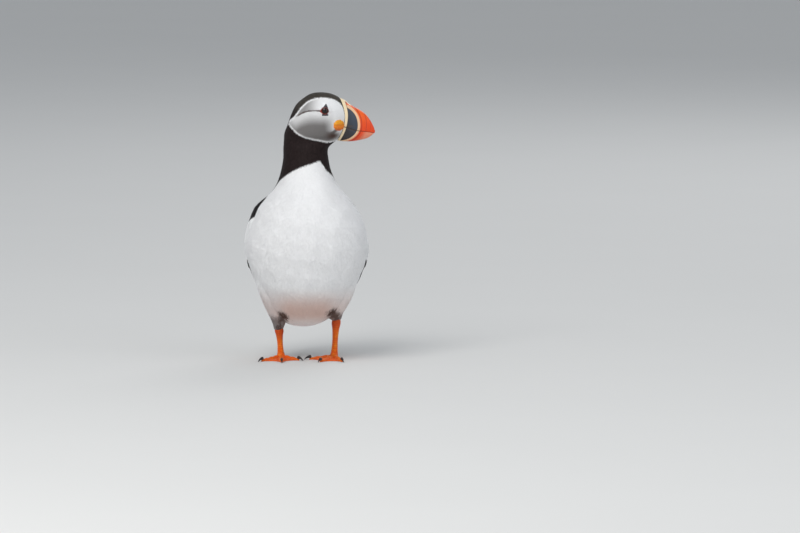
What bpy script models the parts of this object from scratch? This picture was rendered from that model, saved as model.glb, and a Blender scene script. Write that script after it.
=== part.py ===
"""Atlantic puffin, life size, standing upright and alert with its head turned to its left.

The bird faces -Y, its left side is +X and up is +Z. Lengths below are in millimetres, and every mesh
is written in metres. The trunk, neck and head are one loft of level sections parted by thin cuts.
"""

import math
from collections import namedtuple

import bmesh
import bpy
import numpy as np
from mathutils import Matrix, Vector

MM = 0.001

# ---------------------------------------------------------------- driving dimensions, in mm
GAP = 0.3  # clear space between neighbouring solids
STEPS_PER_SECTION = 2  # rings between one body section and the next
RING_POINTS = 36

EYE = Vector((16.2, 15.0, 217.6))  # the left eye's centre, measured sideways from the head's middle
EYE_RADIUS = 4.3
HEAD_MIDDLE = -3.0  # the Y of the plane that halves the turned head

BILL_HALF_WIDTH = 8.6  # at the base of the bill
BILL_BOW = 5.5  # how far the base line bulges forwards between its ends
GAPE_CENTRE = Vector((28.0, 13.2, 204.8))
GAPE_RADII = Vector((5.3, 3.4, 5.0))

TAIL_ROOT = Vector((0.0, 47.0, 57.0))
TAIL_TIP = Vector((0.0, 79.0, 25.0))
TAIL_HALF_WIDTHS = (13.0, 20.0)  # at the root and at the widest place
TAIL_THICKNESSES = (9.0, 2.6)

WING_FREE_HEIGHT = 76.0  # below this the closed wing stands clear of the rump
WING_TIP_HEIGHT = 37.0
WING_FREE_SLOPE = Vector((-0.24, 0.58, 0.0))  # inwards and backwards for each mm further down
WING_CLEARANCE = 0.7
WING_THICKNESS = 6.0

FOOT_RADIUS = 3.4  # round the heel, under the tarsus
HUB_HEIGHT = 6.0
WEB_THICKNESS = 0.8
TOE_WIDTH, TOE_HEIGHT = 4.6, 4.4
CLAW_LENGTH, CLAW_RADIUS = 7.5, 1.55
Toe = namedtuple("Toe", "name angle length")
TOES = (Toe("outer", -33, 31.0), Toe("middle", 0, 33.5), Toe("inner", 37, 25.0))

# One leg: where the heel stands, the angle by which the foot toes in, and the level sections of the
# feathered thigh from its top down to the bare leg, each as height, centre and radius in mm.
Leg = namedtuple("Leg", "side heel toe_in thigh")
LEFT_THIGH = (
    (72.0, 27.5, 3.0, 11.0),
    (66.0, 27.5, 4.0, 13.2),
    (58.0, 26.8, 6.0, 14.2),
    (50.0, 24.8, 8.5, 13.0),
    (44.0, 24.0, 10.0, 11.0),
    (39.0, 24.6, 11.0, 8.6),
    (34.5, 25.7, 12.0, 6.0),
    (32.0, 26.0, 12.4, 4.9),
)
RIGHT_THIGH = (
    (72.0, -27.5, 2.0, 11.0),
    (66.0, -28.0, 3.0, 13.4),
    (58.0, -27.5, 5.0, 14.2),
    (50.0, -25.4, 7.0, 13.6),
    (43.0, -24.0, 8.5, 12.0),
    (36.0, -23.6, 9.8, 9.8),
    (29.5, -23.8, 11.0, 6.9),
    (26.0, -24.4, 11.4, 5.0),
)
LEGS = (
    Leg("left", (23.7, 15.0), 20, LEFT_THIGH),
    Leg("right", (-22.4, 14.0), 2, RIGHT_THIGH),
)

# A level section of the body: its height, its centre, its reach forwards, backwards and to each side,
# and the turn of its forward direction from -Y towards +X, in degrees.
Section = namedtuple("Section", "name height across along front back side turn")
SECTIONS = (
    Section("belly_end", 28.5, -3.0, 6.0, 0.0, 0.0, 0.0, 0),
    Section("belly_keel", 30.0, -3.0, 6.0, 13.0, 14.0, 10.5, 0),
    Section("belly_low", 34.0, -2.4, 6.5, 23.5, 29.0, 19.5, 0),
    Section("vent", 42.0, -1.0, 7.0, 33.0, 43.0, 28.5, 0),
    Section("tail_root", 53.0, 0.0, 6.0, 40.5, 50.0, 37.0, 0),
    Section("rump", 67.0, 0.0, 3.5, 46.0, 53.0, 44.2, 0),
    Section("belly", 83.0, 0.3, 1.0, 48.5, 51.0, 50.4, 0),
    Section("breast", 101.0, 0.8, -2.0, 49.0, 47.5, 52.8, 0),
    Section("breast_top", 120.0, 1.5, -4.0, 46.5, 42.0, 48.0, 0),
    Section("shoulders", 136.0, 1.0, -6.0, 40.0, 36.0, 40.2, 0),
    Section("throat_base", 150.0, 0.8, -7.0, 31.0, 29.5, 28.4, 8),
    Section("neck_low", 162.0, 0.0, -6.5, 23.5, 23.5, 22.6, 25),
    Section("neck", 174.0, -0.5, -5.0, 20.5, 20.0, 19.5, 50),
    Section("neck_top", 184.0, -0.5, -4.0, 19.8, 19.6, 18.5, 75),
    Section("chin", 191.0, 0.0, -3.0, 27.0, 19.5, 17.5, 90),
    Section("gape", 197.0, 1.5, -3.0, 33.0, 20.5, 20.0, 90),
    Section("cheek", 205.0, 5.0, -3.0, 33.0, 21.0, 21.0, 90),
    Section("eye_level", 214.0, 7.0, -3.0, 31.5, 19.8, 20.0, 90),
    Section("brow", 222.0, 9.0, -3.0, 26.0, 17.5, 16.8, 90),
    Section("crown", 228.0, 11.0, -3.0, 17.5, 12.5, 11.5, 90),
    Section("crown_high", 231.3, 12.0, -3.0, 9.0, 7.5, 6.0, 90),
    Section("crown_end", 232.3, 12.3, -3.0, 0.0, 0.0, 0.0, 90),
)
NECK_CUT = 160.0  # heights of the cuts that part trunk, neck and head
HEAD_CUT = 188.5
NECK_CUT_TILT, HEAD_CUT_TILT = 12.0, 8.0  # degrees


# ---------------------------------------------------------------- scene, materials and small helpers
def clear_scene():
    for obj in list(bpy.data.objects):
        bpy.data.objects.remove(obj, do_unlink=True)


def new_collection(name):
    made = bpy.data.collections.new(name)
    bpy.context.scene.collection.children.link(made)
    return made


def material(name, colour, roughness):
    made = bpy.data.materials.new(name)
    made.use_nodes = True
    shader = made.node_tree.nodes["Principled BSDF"]
    shader.inputs["Base Color"].default_value = (*colour, 1.0)
    shader.inputs["Roughness"].default_value = roughness
    return made


def add_object(name, mesh, finish, collection):
    obj = bpy.data.objects.new(name, mesh)
    collection.objects.link(obj)
    if finish:
        mesh.materials.append(finish)
    return obj


def as_cutter(obj):
    obj.hide_render = True
    obj.display_type = "WIRE"
    return obj


def mesh_from(name, points, faces):
    """A mesh from points in mm and faces, with its normals turned outwards."""
    shape = bmesh.new()
    corners = [shape.verts.new(Vector(p) * MM) for p in points]
    for face in faces:
        shape.faces.new([corners[i] for i in face])
    bmesh.ops.recalc_face_normals(shape, faces=shape.faces)
    mesh = bpy.data.meshes.new(name)
    shape.to_mesh(mesh)
    shape.free()
    mesh.shade_smooth()
    mesh.set_sharp_from_angle(angle=math.radians(50))
    return mesh


def cut_with(obj, cutter, label):
    boolean = obj.modifiers.new(label, "BOOLEAN")
    boolean.operation = "DIFFERENCE"
    boolean.solver = "EXACT"
    boolean.object = cutter


def ring_loft(rings, laced_start=False):
    """Points and faces of a closed tube through rings of equal length.

    The ends are flat, or the first one is laced across from side to side so that it may bow forwards.
    """
    count = len(rings[0])
    points = [p for ring in rings for p in ring]
    faces = [tuple(range((len(rings) - 1) * count, len(rings) * count))]
    if laced_start:
        faces += [(k, k + 1, count - k - 1, count - k) for k in range(1, count // 2 - 1)]
        faces += [(0, 1, count - 1), (count // 2 - 1, count // 2, count // 2 + 1)]
    else:
        faces.append(tuple(range(count)))
    for i in range(len(rings) - 1):
        for j in range(count):
            a, b = i * count + j, i * count + (j + 1) % count
            faces.append((a, b, b + count, a + count))
    return points, faces


def ellipse_ring(centre, axis_a, axis_b, count):
    turns = [2 * math.pi * k / count for k in range(count)]
    return [centre + axis_a * math.cos(a) + axis_b * math.sin(a) for a in turns]


def sheet_solid(outer, inner):
    """Points and faces of the closed solid between two grids of the same size."""
    rows, columns = len(outer), len(outer[0])
    points = [p for row in outer for p in row] + [p for row in inner for p in row]
    under = rows * columns

    def at(i, j):
        return i * columns + j

    faces = []
    for i in range(rows - 1):
        for j in range(columns - 1):
            quad = (at(i, j), at(i, j + 1), at(i + 1, j + 1), at(i + 1, j))
            faces += [quad, tuple(k + under for k in reversed(quad))]
    rim = [at(0, j) for j in range(columns)] + [at(i, columns - 1) for i in range(1, rows)]
    rim += [at(rows - 1, j) for j in range(columns - 2, -1, -1)]
    rim += [at(i, 0) for i in range(rows - 2, 0, -1)]
    for k, a in enumerate(rim):
        b = rim[(k + 1) % len(rim)]
        faces.append((a, b, b + under, a + under))
    return points, faces


# ---------------------------------------------------------------- the body's own surface
def catmull_rom(before, start, end, after, t):
    return 0.5 * (
        2 * start
        + (end - before) * t
        + (2 * before - 5 * start + 4 * end - after) * t * t
        + (3 * start - before - 3 * end + after) * t**3
    )


def section_values():
    """Section sizes as rows of numbers, with a mirrored row beyond each end so that the ends are round."""
    rows = np.array([section[1:] for section in SECTIONS], float)
    mirror = np.array([1, 1, 1, -1, -1, -1, 1])
    return np.vstack([rows[1] * mirror, rows, rows[-2] * mirror])


def body_rings(positions):
    """Sizes of the body at positions counted in sections from the belly's end."""
    rows = section_values()
    sizes = []
    for position in positions:
        i = min(int(position), len(SECTIONS) - 2)
        sizes.append(catmull_rom(rows[i], rows[i + 1], rows[i + 2], rows[i + 3], position - i))
    return np.array(sizes)


def body_points(sizes, angles):
    """Points of the level rings: angle 0 is the middle of the breast or face, a quarter turn is its left."""
    height, across, along, front, back, side, turn = (sizes[..., k] for k in range(7))
    reach = np.where(np.cos(angles) > 0, front, back) * np.cos(angles)
    sideways = side * np.sin(angles)
    turn = np.radians(turn)
    x = across + reach * np.sin(turn) + sideways * np.cos(turn)
    y = along - reach * np.cos(turn) + sideways * np.sin(turn)
    return np.stack([x, y, np.broadcast_to(height, x.shape)], -1)


def body_surface(positions, angles):
    """Points and outward normals where each position meets each angle."""
    sizes = body_rings(positions)[:, None, :]
    spread = np.asarray(angles)[None, :]
    nudge = 1e-3
    here = body_points(sizes, spread)
    beside = body_points(sizes, spread + nudge) - body_points(sizes, spread - nudge)
    last = len(SECTIONS) - 1
    above = body_rings(np.minimum(np.asarray(positions) + nudge, last))[:, None, :]
    below = body_rings(np.maximum(np.asarray(positions) - nudge, 0))[:, None, :]
    upwards = body_points(above, spread) - body_points(below, spread)
    normal = np.cross(beside, upwards)
    size = np.linalg.norm(normal, axis=-1, keepdims=True)
    return here, normal / np.maximum(size, 1e-12)


def position_at_height(height):
    fine = np.linspace(0, len(SECTIONS) - 1, 2001)
    return float(np.interp(height, body_rings(fine)[:, 0], fine))


def body_mesh(name, swell=0.0):
    """The whole body from belly to crown, with its surface moved outwards by swell."""
    last = len(SECTIONS) - 1
    positions = np.linspace(0, last, last * STEPS_PER_SECTION + 1)[1:-1]
    angles = np.linspace(0, 2 * math.pi, RING_POINTS, endpoint=False)
    points, normals = body_surface(positions, angles)
    rings = points + normals * swell
    ends = [SECTIONS[0], SECTIONS[-1]]
    tips = [(e.across, e.along, e.height + s * swell) for e, s in zip(ends, (-1, 1))]
    count = RING_POINTS
    all_points = [tuple(p) for p in rings.reshape(-1, 3)] + tips
    faces = []
    for i in range(len(positions) - 1):
        for j in range(count):
            a, b = i * count + j, i * count + (j + 1) % count
            faces.append((a, b, b + count, a + count))
    top, low_tip = (len(positions) - 1) * count, len(all_points) - 2
    for j in range(count):
        faces.append(((j + 1) % count, j, low_tip))
        faces.append((top + j, top + (j + 1) % count, low_tip + 1))
    return mesh_from(name, all_points, faces)


def keep_between(mesh, low, high):
    """Cuts away what lies below the low plane and above the high one, and closes the cuts.

    Each plane is None or a height in mm and a tilt in degrees about the X axis.
    """
    shape = bmesh.new()
    shape.from_mesh(mesh)
    for plane, keeps_upper in ((low, True), (high, False)):
        if plane is None:
            continue
        height, tilt = plane
        normal = Matrix.Rotation(math.radians(tilt), 3, "X") @ Vector((0, 0, 1))
        bmesh.ops.bisect_plane(
            shape,
            geom=shape.verts[:] + shape.edges[:] + shape.faces[:],
            plane_co=Vector((0, 0, height)) * MM,
            plane_no=normal,
            clear_inner=keeps_upper,
            clear_outer=not keeps_upper,
        )
        bmesh.ops.holes_fill(shape, edges=[e for e in shape.edges if e.is_boundary])
    bmesh.ops.recalc_face_normals(shape, faces=shape.faces)
    shape.to_mesh(mesh)
    shape.free()
    mesh.set_sharp_from_angle(angle=math.radians(50))
    return mesh


# ---------------------------------------------------------------- the bill
def curve_through(knots, s):
    """A smooth curve through (place, x, z) knots, read at place s from 0 to 1."""
    i = max(k for k in range(len(knots) - 1) if knots[k][0] <= s)
    around = [Vector(knots[min(max(k, 0), len(knots) - 1)][1:]) for k in range(i - 1, i + 3)]
    t = (s - knots[i][0]) / (knots[i + 1][0] - knots[i][0])
    return catmull_rom(*around, t)


# The culmen and the lower edge, from the feathers at place 0 to the tip at place 1.
CULMEN = (
    (0.0, 29.0, 227.4),
    (0.25, 33.4, 225.3),
    (0.5, 37.6, 221.9),
    (0.75, 50.0, 214.3),
    (0.88, 55.4, 206.8),
    (1.0, 58.6, 197.4),
)
LOWER_EDGE = (
    (0.0, 26.7, 190.6),
    (0.25, 33.0, 189.8),
    (0.5, 41.0, 190.1),
    (0.75, 50.9, 192.1),
    (0.88, 55.3, 194.2),
    (1.0, 58.0, 197.0),
)


def bill_point(s, v, side):
    """The bill's surface at place s from base to tip and v from the lower edge to the culmen."""
    low, high = curve_through(LOWER_EDGE, s), curve_through(CULMEN, s)
    x, z = low.lerp(high, v)
    x += BILL_BOW * math.sqrt(max(0.0, 1 - s * s)) * 4 * v * (1 - v)
    half = BILL_HALF_WIDTH * (1 - 0.86 * s**1.8) * (1 - abs(2 * v - 1) ** 2.4) ** 0.55
    return Vector((x, HEAD_MIDDLE + side * half, z))


def mouth_line(s):
    """The share of the bill's depth that lies below the mouth."""
    return 0.34 - 0.10 * s


def bill_half(name, finish, collection, upper):
    places = [0.0, 0.08, 0.17, 0.27, 0.37, 0.47, 0.57, 0.67, 0.76, 0.84, 0.91, 0.965]
    rows = 7
    rings = []
    for s in places:
        depth = (curve_through(CULMEN, s) - curve_through(LOWER_EDGE, s)).length
        half_gap = 0.5 * GAP / depth
        mouth = mouth_line(s) + (half_gap if upper else -half_gap)
        edge = 1.0 if upper else 0.0
        spread = [mouth + (edge - mouth) * math.sin(0.5 * math.pi * k / rows) for k in range(rows + 1)]
        left = [bill_point(s, v, 1) for v in spread]
        right = [bill_point(s, v, -1) for v in spread[:-1]]
        middle = bill_point(s, spread[0], 0)
        rings.append([middle] + left + right[::-1])
    points, faces = ring_loft(rings, laced_start=True)
    return add_object(name, mesh_from(name, points, faces), finish, collection)


def bill_zone(collection):
    """A cutter that takes from the head all that lies in front of the base of the bill."""
    line = [bill_point(0.0, v / 10, 0) for v in range(11)]
    line = [(p.x - GAP, p.z) for p in line]
    foot = (line[0][0] + 2, line[0][1] - 3 * GAP)
    top = (line[-1][0] + 1, line[-1][1] + 12)
    outline = [foot, *line, top, (90, top[1]), (90, foot[1])]
    shape = bmesh.new()
    corners = [shape.verts.new(Vector((x, -40, z)) * MM) for x, z in outline]
    face = shape.faces.new(corners)
    moved = bmesh.ops.extrude_face_region(shape, geom=[face])["geom"]
    far = [v for v in moved if isinstance(v, bmesh.types.BMVert)]
    bmesh.ops.translate(shape, verts=far, vec=Vector((0, 80, 0)) * MM)
    bmesh.ops.recalc_face_normals(shape, faces=shape.faces)
    mesh = bpy.data.meshes.new("bill_zone")
    shape.to_mesh(mesh)
    shape.free()
    return as_cutter(add_object("bill_zone", mesh, None, collection))


# ---------------------------------------------------------------- eyes and gapes
def ball(name, centre, radii, finish, collection, segments=20, rings=12):
    shape = bmesh.new()
    bmesh.ops.create_uvsphere(shape, u_segments=segments, v_segments=rings, radius=1.0)
    bmesh.ops.scale(shape, vec=Vector(radii) * MM, verts=shape.verts)
    mesh = bpy.data.meshes.new(name)
    shape.to_mesh(mesh)
    shape.free()
    mesh.shade_smooth()
    obj = add_object(name, mesh, finish, collection)
    obj.location = centre * MM
    return obj


def on_head(place, side):
    """A place given for the left of the head, carried to the side asked for."""
    return Vector((place.x, HEAD_MIDDLE + side * place.y, place.z))


# ---------------------------------------------------------------- the closed wings and the tail
def smooth_between(knots, height):
    """A value read from (height, value) knots, highest first, along a curve with level ends."""
    if height >= knots[0][0]:
        return knots[0][1]
    if height <= knots[-1][0]:
        return knots[-1][1]
    slopes = [0.0]
    for before, after in zip(knots, knots[2:]):
        slopes.append((after[1] - before[1]) / (after[0] - before[0]))
    slopes.append(0.0)
    i = max(k for k in range(len(knots) - 1) if knots[k][0] >= height)
    span = knots[i + 1][0] - knots[i][0]
    t = (height - knots[i][0]) / span
    first, second = knots[i][1], knots[i + 1][1]
    rise = first * (2 * t**3 - 3 * t**2 + 1) + second * (3 * t**2 - 2 * t**3)
    return rise + span * (slopes[i] * (t**3 - 2 * t**2 + t) + slopes[i + 1] * (t**3 - t**2))


# Degrees round the body from the middle of the breast, at heights in mm.
WING_FRONT_EDGE = ((143, 118), (138, 106), (131, 97), (122, 97), (108, 103), (88, 108), (70, 110), (37, 146))
WING_BACK_EDGE = ((143, 142), (136, 151), (118, 158), (92, 164), (70, 168), (37, 164))
LEFT_WING_SET_BACK = ((136, 16), (122, 20), (84, 0))  # the turned neck draws the left wing back


def wing_guide(height, angle):
    """A point and normal of the surface that the closed wing follows."""
    level = max(height, WING_FREE_HEIGHT)
    points, normals = body_surface([position_at_height(level)], [math.radians(angle)])
    point, normal = Vector(points[0, 0]), Vector(normals[0, 0])
    below = level - height
    side = 1 if point.x > 0 else -1
    point += Vector((side * WING_FREE_SLOPE.x, WING_FREE_SLOPE.y, -1)) * below
    return point, normal


def wing(side, finish, collection):
    heights = [143, 141, 138, 133, 124, 113, 101, 89, 77, 66, 56, 47, 41, WING_TIP_HEIGHT]
    columns = 9
    outer, inner = [], []
    for height in heights:
        first = smooth_between(WING_FRONT_EDGE, height)
        last = smooth_between(WING_BACK_EDGE, height)
        if side > 0:
            first += smooth_between(LEFT_WING_SET_BACK, height)
        body = min(1.0, (144.5 - height) / 16) ** 0.8
        taper = 1.0 if height > 80 else 0.35 + 0.65 * (height - WING_TIP_HEIGHT) / (80 - WING_TIP_HEIGHT)
        outer_row, inner_row = [], []
        for k in range(columns):
            share = k / (columns - 1)
            point, normal = wing_guide(height, side * (first + (last - first) * share))
            lift = 1.1 + WING_THICKNESS * body * taper * math.sin(math.pi * share) ** 0.7
            outer_row.append(point + normal * (WING_CLEARANCE + lift))
            inner_row.append(point + normal * WING_CLEARANCE)
        outer.append(outer_row)
        inner.append(inner_row)
    name = "wing_left" if side > 0 else "wing_right"
    points, faces = sheet_solid(outer, inner)
    return add_object(name, mesh_from(name, points, faces), finish, collection)


def tail(finish, collection):
    along = TAIL_TIP - TAIL_ROOT
    across = Vector((1, 0, 0))
    up = across.cross(along).normalized()
    if up.z < 0:
        up = -up
    rings = []
    for share in (0.0, 0.3, 0.6, 0.85, 0.96, 1.0):
        width = TAIL_HALF_WIDTHS[0] + (TAIL_HALF_WIDTHS[1] - TAIL_HALF_WIDTHS[0]) * min(1, share / 0.85)
        thick = TAIL_THICKNESSES[0] + (TAIL_THICKNESSES[1] - TAIL_THICKNESSES[0]) * share
        if share > 0.85:
            width *= 1 - 0.45 * ((share - 0.85) / 0.15) ** 2
        ring = []
        for k in range(20):
            turn = 2 * math.pi * k / 20
            sideways = math.copysign(abs(math.cos(turn)) ** 0.75, math.cos(turn))
            arch = 0.12 * width * (1 - sideways * sideways)
            ring.append(
                TAIL_ROOT
                + along * share
                + across * width * sideways
                + up * (0.5 * thick * math.sin(turn) + arch)
            )
        rings.append(ring)
    points, faces = ring_loft(rings)
    return add_object("tail", mesh_from("tail", points, faces), finish, collection)


# ---------------------------------------------------------------- legs and feet
def thigh(leg, finish, collection):
    rings = []
    for height, across, along, radius in leg.thigh:
        centre = Vector((across, along, height))
        rings.append(ellipse_ring(centre, Vector((radius, 0, 0)), Vector((0, 1.12 * radius, 0)), 20))
    points, faces = ring_loft(rings)
    name = f"thigh_{leg.side}"
    return add_object(name, mesh_from(name, points, faces), finish, collection)


def tarsus(leg, finish, collection):
    height, across, along, _ = leg.thigh[-1]
    foot = Vector((leg.heel[0], leg.heel[1], HUB_HEIGHT + GAP))
    top = Vector((across, along, height - GAP))
    sizes = ((0.0, 3.9, 4.2), (0.14, 4.2, 4.5), (0.34, 3.1, 3.9), (0.66, 2.5, 3.4), (0.88, 2.8, 3.4), (1, 3, 3.3))
    rings = [
        ellipse_ring(top.lerp(foot, share), Vector((wide, 0, 0)), Vector((0, deep, 0)), 14)
        for share, wide, deep in sizes
    ]
    points, faces = ring_loft(rings)
    name = f"tarsus_{leg.side}"
    return add_object(name, mesh_from(name, points, faces), finish, collection)


def heading(degrees):
    """The level direction that lies so many degrees from straight ahead, towards +X."""
    turn = math.radians(degrees)
    return Vector((math.sin(turn), -math.cos(turn), 0))


def toe_angle(leg, toe):
    side = 1 if leg.side == "left" else -1
    return -side * (toe.angle + leg.toe_in)


def toe_half_width(share):
    return 0.5 * TOE_WIDTH * (1 - 0.28 * share)


def toe_height(share):
    return TOE_HEIGHT * (1 - 0.42 * share)


def foot(leg, finish, collection):
    """A webbed foot as a grid that runs from the heel to the tips of the toes, over its flat sole."""
    heel = Vector((leg.heel[0], leg.heel[1], 0))
    across = (-1.0, -0.6, 0.0, 0.6, 1.0)
    reach = (0.24, 0.36, 0.5, 0.64, 0.78, 0.9, 1.0)
    side = 1 if leg.side == "left" else -1
    ahead = heading(-side * leg.toe_in)
    sideways = Vector((-ahead.y, ahead.x, 0)) * -side

    def toe_row(toe, share):
        direction = heading(toe_angle(leg, toe))
        beside = Vector((-direction.y, direction.x, 0)) * -side
        row = []
        for offset in across:
            place = heel + direction * toe.length * share + beside * offset * toe_half_width(share)
            row.append((place, max(WEB_THICKNESS, toe_height(share) * math.sqrt(1 - offset**2))))
        return row

    rows = []
    arc = []
    columns = 3 * len(across) + 4
    for k in range(columns):
        turn = math.radians(-115 - 130 * k / (columns - 1))
        place = heel + (ahead * math.cos(turn) + sideways * math.sin(turn)) * FOOT_RADIUS
        arc.append((place, HUB_HEIGHT))
    rows.append(arc)
    line = []
    for k in range(columns):
        turn = math.radians(-90 + 180 * k / (columns - 1))
        place = heel + (ahead * math.cos(turn) + sideways * math.sin(turn)) * FOOT_RADIUS
        line.append((place, HUB_HEIGHT))
    rows.append(line)
    for share in reach:
        toes = [toe_row(toe, share) for toe in TOES]
        row = list(toes[0])
        for first, second in zip(toes, toes[1:]):
            for part in (1 / 3, 2 / 3):
                edge = first[-1][0].lerp(second[0][0], part)
                edge += (heel - edge) * (0.16 * share**3)
                row.append((edge, WEB_THICKNESS))
            row += second
        rows.append(row)
    top = [[Vector((p.x, p.y, h)) for p, h in row] for row in rows]
    sole = [[Vector((p.x, p.y, 0)) for p, h in row] for row in rows]
    points, faces = sheet_solid(top, sole)
    name = f"foot_{leg.side}"
    return add_object(name, mesh_from(name, points, faces), finish, collection)


def claw(leg, toe, finish, collection):
    """A curved claw that springs from the end of its toe and comes down almost to the ground."""
    direction = heading(toe_angle(leg, toe))
    beside = Vector((-direction.y, direction.x, 0))
    start = Vector((leg.heel[0], leg.heel[1], 0)) + direction * (toe.length + GAP)
    rings = []
    for share in (0.0, 0.25, 0.5, 0.75, 0.95):
        radius = CLAW_RADIUS * (1 - share) ** 0.7 + 0.15
        middle = start + direction * CLAW_LENGTH * share
        middle.z = 0.2 + radius + 0.9 * math.sin(math.pi * min(1, share + 0.25))
        rings.append(ellipse_ring(middle, beside * radius, Vector((0, 0, radius)), 8))
    points, faces = ring_loft(rings)
    name = f"claw_{leg.side}_{toe.name}"
    return add_object(name, mesh_from(name, points, faces), finish, collection)


# ---------------------------------------------------------------- the whole bird
def centre_on_origin(parts):
    """Moves every part so that the middle of the bird's footprint box is the origin."""
    bpy.context.view_layer.update()
    graph = bpy.context.evaluated_depsgraph_get()
    low, high = Vector((1e9,) * 3), Vector((-1e9,) * 3)
    for obj in parts.objects:
        for corner in obj.evaluated_get(graph).bound_box:
            place = obj.matrix_world @ Vector(corner)
            low = Vector(map(min, low, place))
            high = Vector(map(max, high, place))
    shift = Vector(((low.x + high.x) / 2, (low.y + high.y) / 2, low.z))
    for obj in bpy.data.objects:
        if obj.parent is None:
            obj.location -= shift


def main():
    clear_scene()
    parts, cutters = new_collection("atlantic_puffin"), new_collection("cutters")
    white = material("white_plumage", (0.80, 0.80, 0.79), 0.85)
    black = material("black_plumage", (0.022, 0.020, 0.021), 0.75)
    face = material("face_plumage", (0.62, 0.61, 0.61), 0.85)
    thigh_grey = material("thigh_plumage", (0.24, 0.19, 0.19), 0.85)
    red_horn = material("bill_horn", (0.75, 0.13, 0.03), 0.4)
    gape_skin = material("gape_skin", (0.85, 0.36, 0.02), 0.5)
    leg_skin = material("leg_skin", (0.82, 0.20, 0.02), 0.5)
    claw_horn = material("claw_horn", (0.03, 0.025, 0.02), 0.35)
    eye_gloss = material("eye", (0.03, 0.012, 0.008), 0.08)

    swollen = as_cutter(add_object("swollen_body", body_mesh("swollen_body", GAP + 0.1), None, cutters))
    zone = bill_zone(cutters)

    half = GAP / 2
    trunk_mesh = keep_between(body_mesh("trunk"), None, (NECK_CUT - half, NECK_CUT_TILT))
    add_object("trunk", trunk_mesh, white, parts)
    neck_mesh = keep_between(
        body_mesh("neck"), (NECK_CUT + half, NECK_CUT_TILT), (HEAD_CUT - half, HEAD_CUT_TILT)
    )
    add_object("neck", neck_mesh, black, parts)
    head_mesh = keep_between(body_mesh("head"), (HEAD_CUT + half, HEAD_CUT_TILT), None)
    head = add_object("head", head_mesh, face, parts)
    cut_with(head, zone, "bill base")

    bill_half("bill_upper", red_horn, parts, upper=True)
    bill_half("bill_lower", red_horn, parts, upper=False)

    for side, name in ((1, "left"), (-1, "right")):
        ball(f"eye_{name}", on_head(EYE, side), (EYE_RADIUS,) * 3, eye_gloss, parts)
        socket_radii = (EYE_RADIUS + GAP,) * 3
        socket = as_cutter(ball(f"socket_{name}", on_head(EYE, side), socket_radii, None, cutters))
        cut_with(head, socket, f"{name} eye socket")
        gape = ball(f"gape_{name}", on_head(GAPE_CENTRE, side), GAPE_RADII, gape_skin, parts, 16, 10)
        cut_with(gape, swollen, "seat on the cheek")
        cut_with(gape, zone, "edge against the bill")
        wing(side, black, parts)

    cut_with(tail(black, parts), swollen, "seat on the rump")

    for leg in LEGS:
        cut_with(thigh(leg, thigh_grey, parts), swollen, "seat under the belly")
        tarsus(leg, leg_skin, parts)
        foot(leg, leg_skin, parts)
        for toe in TOES:
            claw(leg, toe, claw_horn, parts)

    centre_on_origin(parts)


main()
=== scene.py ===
"""Looks of a life-size Atlantic puffin that stands upright with its head turned to its left.

The bird is worked out in its own millimetres, where it faces -Y, its left side is +X and the ground
is level with zero, and it is carried to the frame's metres when a mesh is made. One skin, drawn in
by the depth of the coat, carries thousands of small vanes that follow the lie of the plumage.
"""

import logging
import math
from dataclasses import dataclass, field
from enum import Enum
from typing import Callable, Mapping, Sequence, Union

import bpy
import numpy as np
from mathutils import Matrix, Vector
from mathutils.bvhtree import BVHTree


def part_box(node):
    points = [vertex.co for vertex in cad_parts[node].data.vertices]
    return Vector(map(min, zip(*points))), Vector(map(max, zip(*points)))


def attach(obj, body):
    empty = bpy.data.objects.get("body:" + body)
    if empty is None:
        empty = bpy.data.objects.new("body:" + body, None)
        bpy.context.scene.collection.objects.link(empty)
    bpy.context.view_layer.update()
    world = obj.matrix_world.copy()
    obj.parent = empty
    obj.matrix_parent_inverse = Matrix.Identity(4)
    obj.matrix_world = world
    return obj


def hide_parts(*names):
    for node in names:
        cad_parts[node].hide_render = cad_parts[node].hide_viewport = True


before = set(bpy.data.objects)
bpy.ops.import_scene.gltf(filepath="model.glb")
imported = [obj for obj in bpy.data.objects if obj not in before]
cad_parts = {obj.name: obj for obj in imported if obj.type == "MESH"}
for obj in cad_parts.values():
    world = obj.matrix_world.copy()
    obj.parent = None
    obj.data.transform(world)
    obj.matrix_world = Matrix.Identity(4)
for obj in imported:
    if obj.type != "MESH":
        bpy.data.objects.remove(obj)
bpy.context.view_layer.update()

MM = 0.001
UP = np.array([0, 0, 1])
Array = np.ndarray
Colour = tuple[float, float, float]
Pair = tuple[float, float]
Triple = tuple[float, float, float]
Material = bpy.types.Material
Mesh = bpy.types.Mesh
Object = bpy.types.Object
log = logging.getLogger("puffin")


# -------- numbers and curves
def unit(vectors: Array) -> Array:
    """Vectors of length one along the last axis."""
    return vectors / np.maximum(np.linalg.norm(vectors, axis=-1, keepdims=True), 1e-12)


def ease(low: float, high: float, value: Array) -> Array:
    """A smooth step from 0 at low to 1 at high, which may be the smaller of the two."""
    t = np.clip((np.asarray(value, float) - low) / (high - low), 0, 1)
    return t * t * (3 - 2 * t)


def bell(offset: Array, width: float) -> Array:
    """A bump that is 1 where offset is 0 and has all but gone at twice the width."""
    return np.exp(-((offset / width) ** 2))


def tangent(directions: Array, normals: Array) -> Array:
    """Directions laid into the planes that the normals stand on."""
    return unit(directions - normals * np.sum(directions * normals, -1, keepdims=True))


def turns(count: int, start: float = 0.0) -> Array:
    """So many angles, spaced evenly round a full turn from start."""
    return np.linspace(start, start + 2 * np.pi, count, endpoint=False)


def crossed(rows: Array, columns: Array) -> Sequence[Array]:
    """Two grids, with the value of each place's row and that of its column."""
    return np.meshgrid(rows, columns, indexing="ij")


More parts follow.
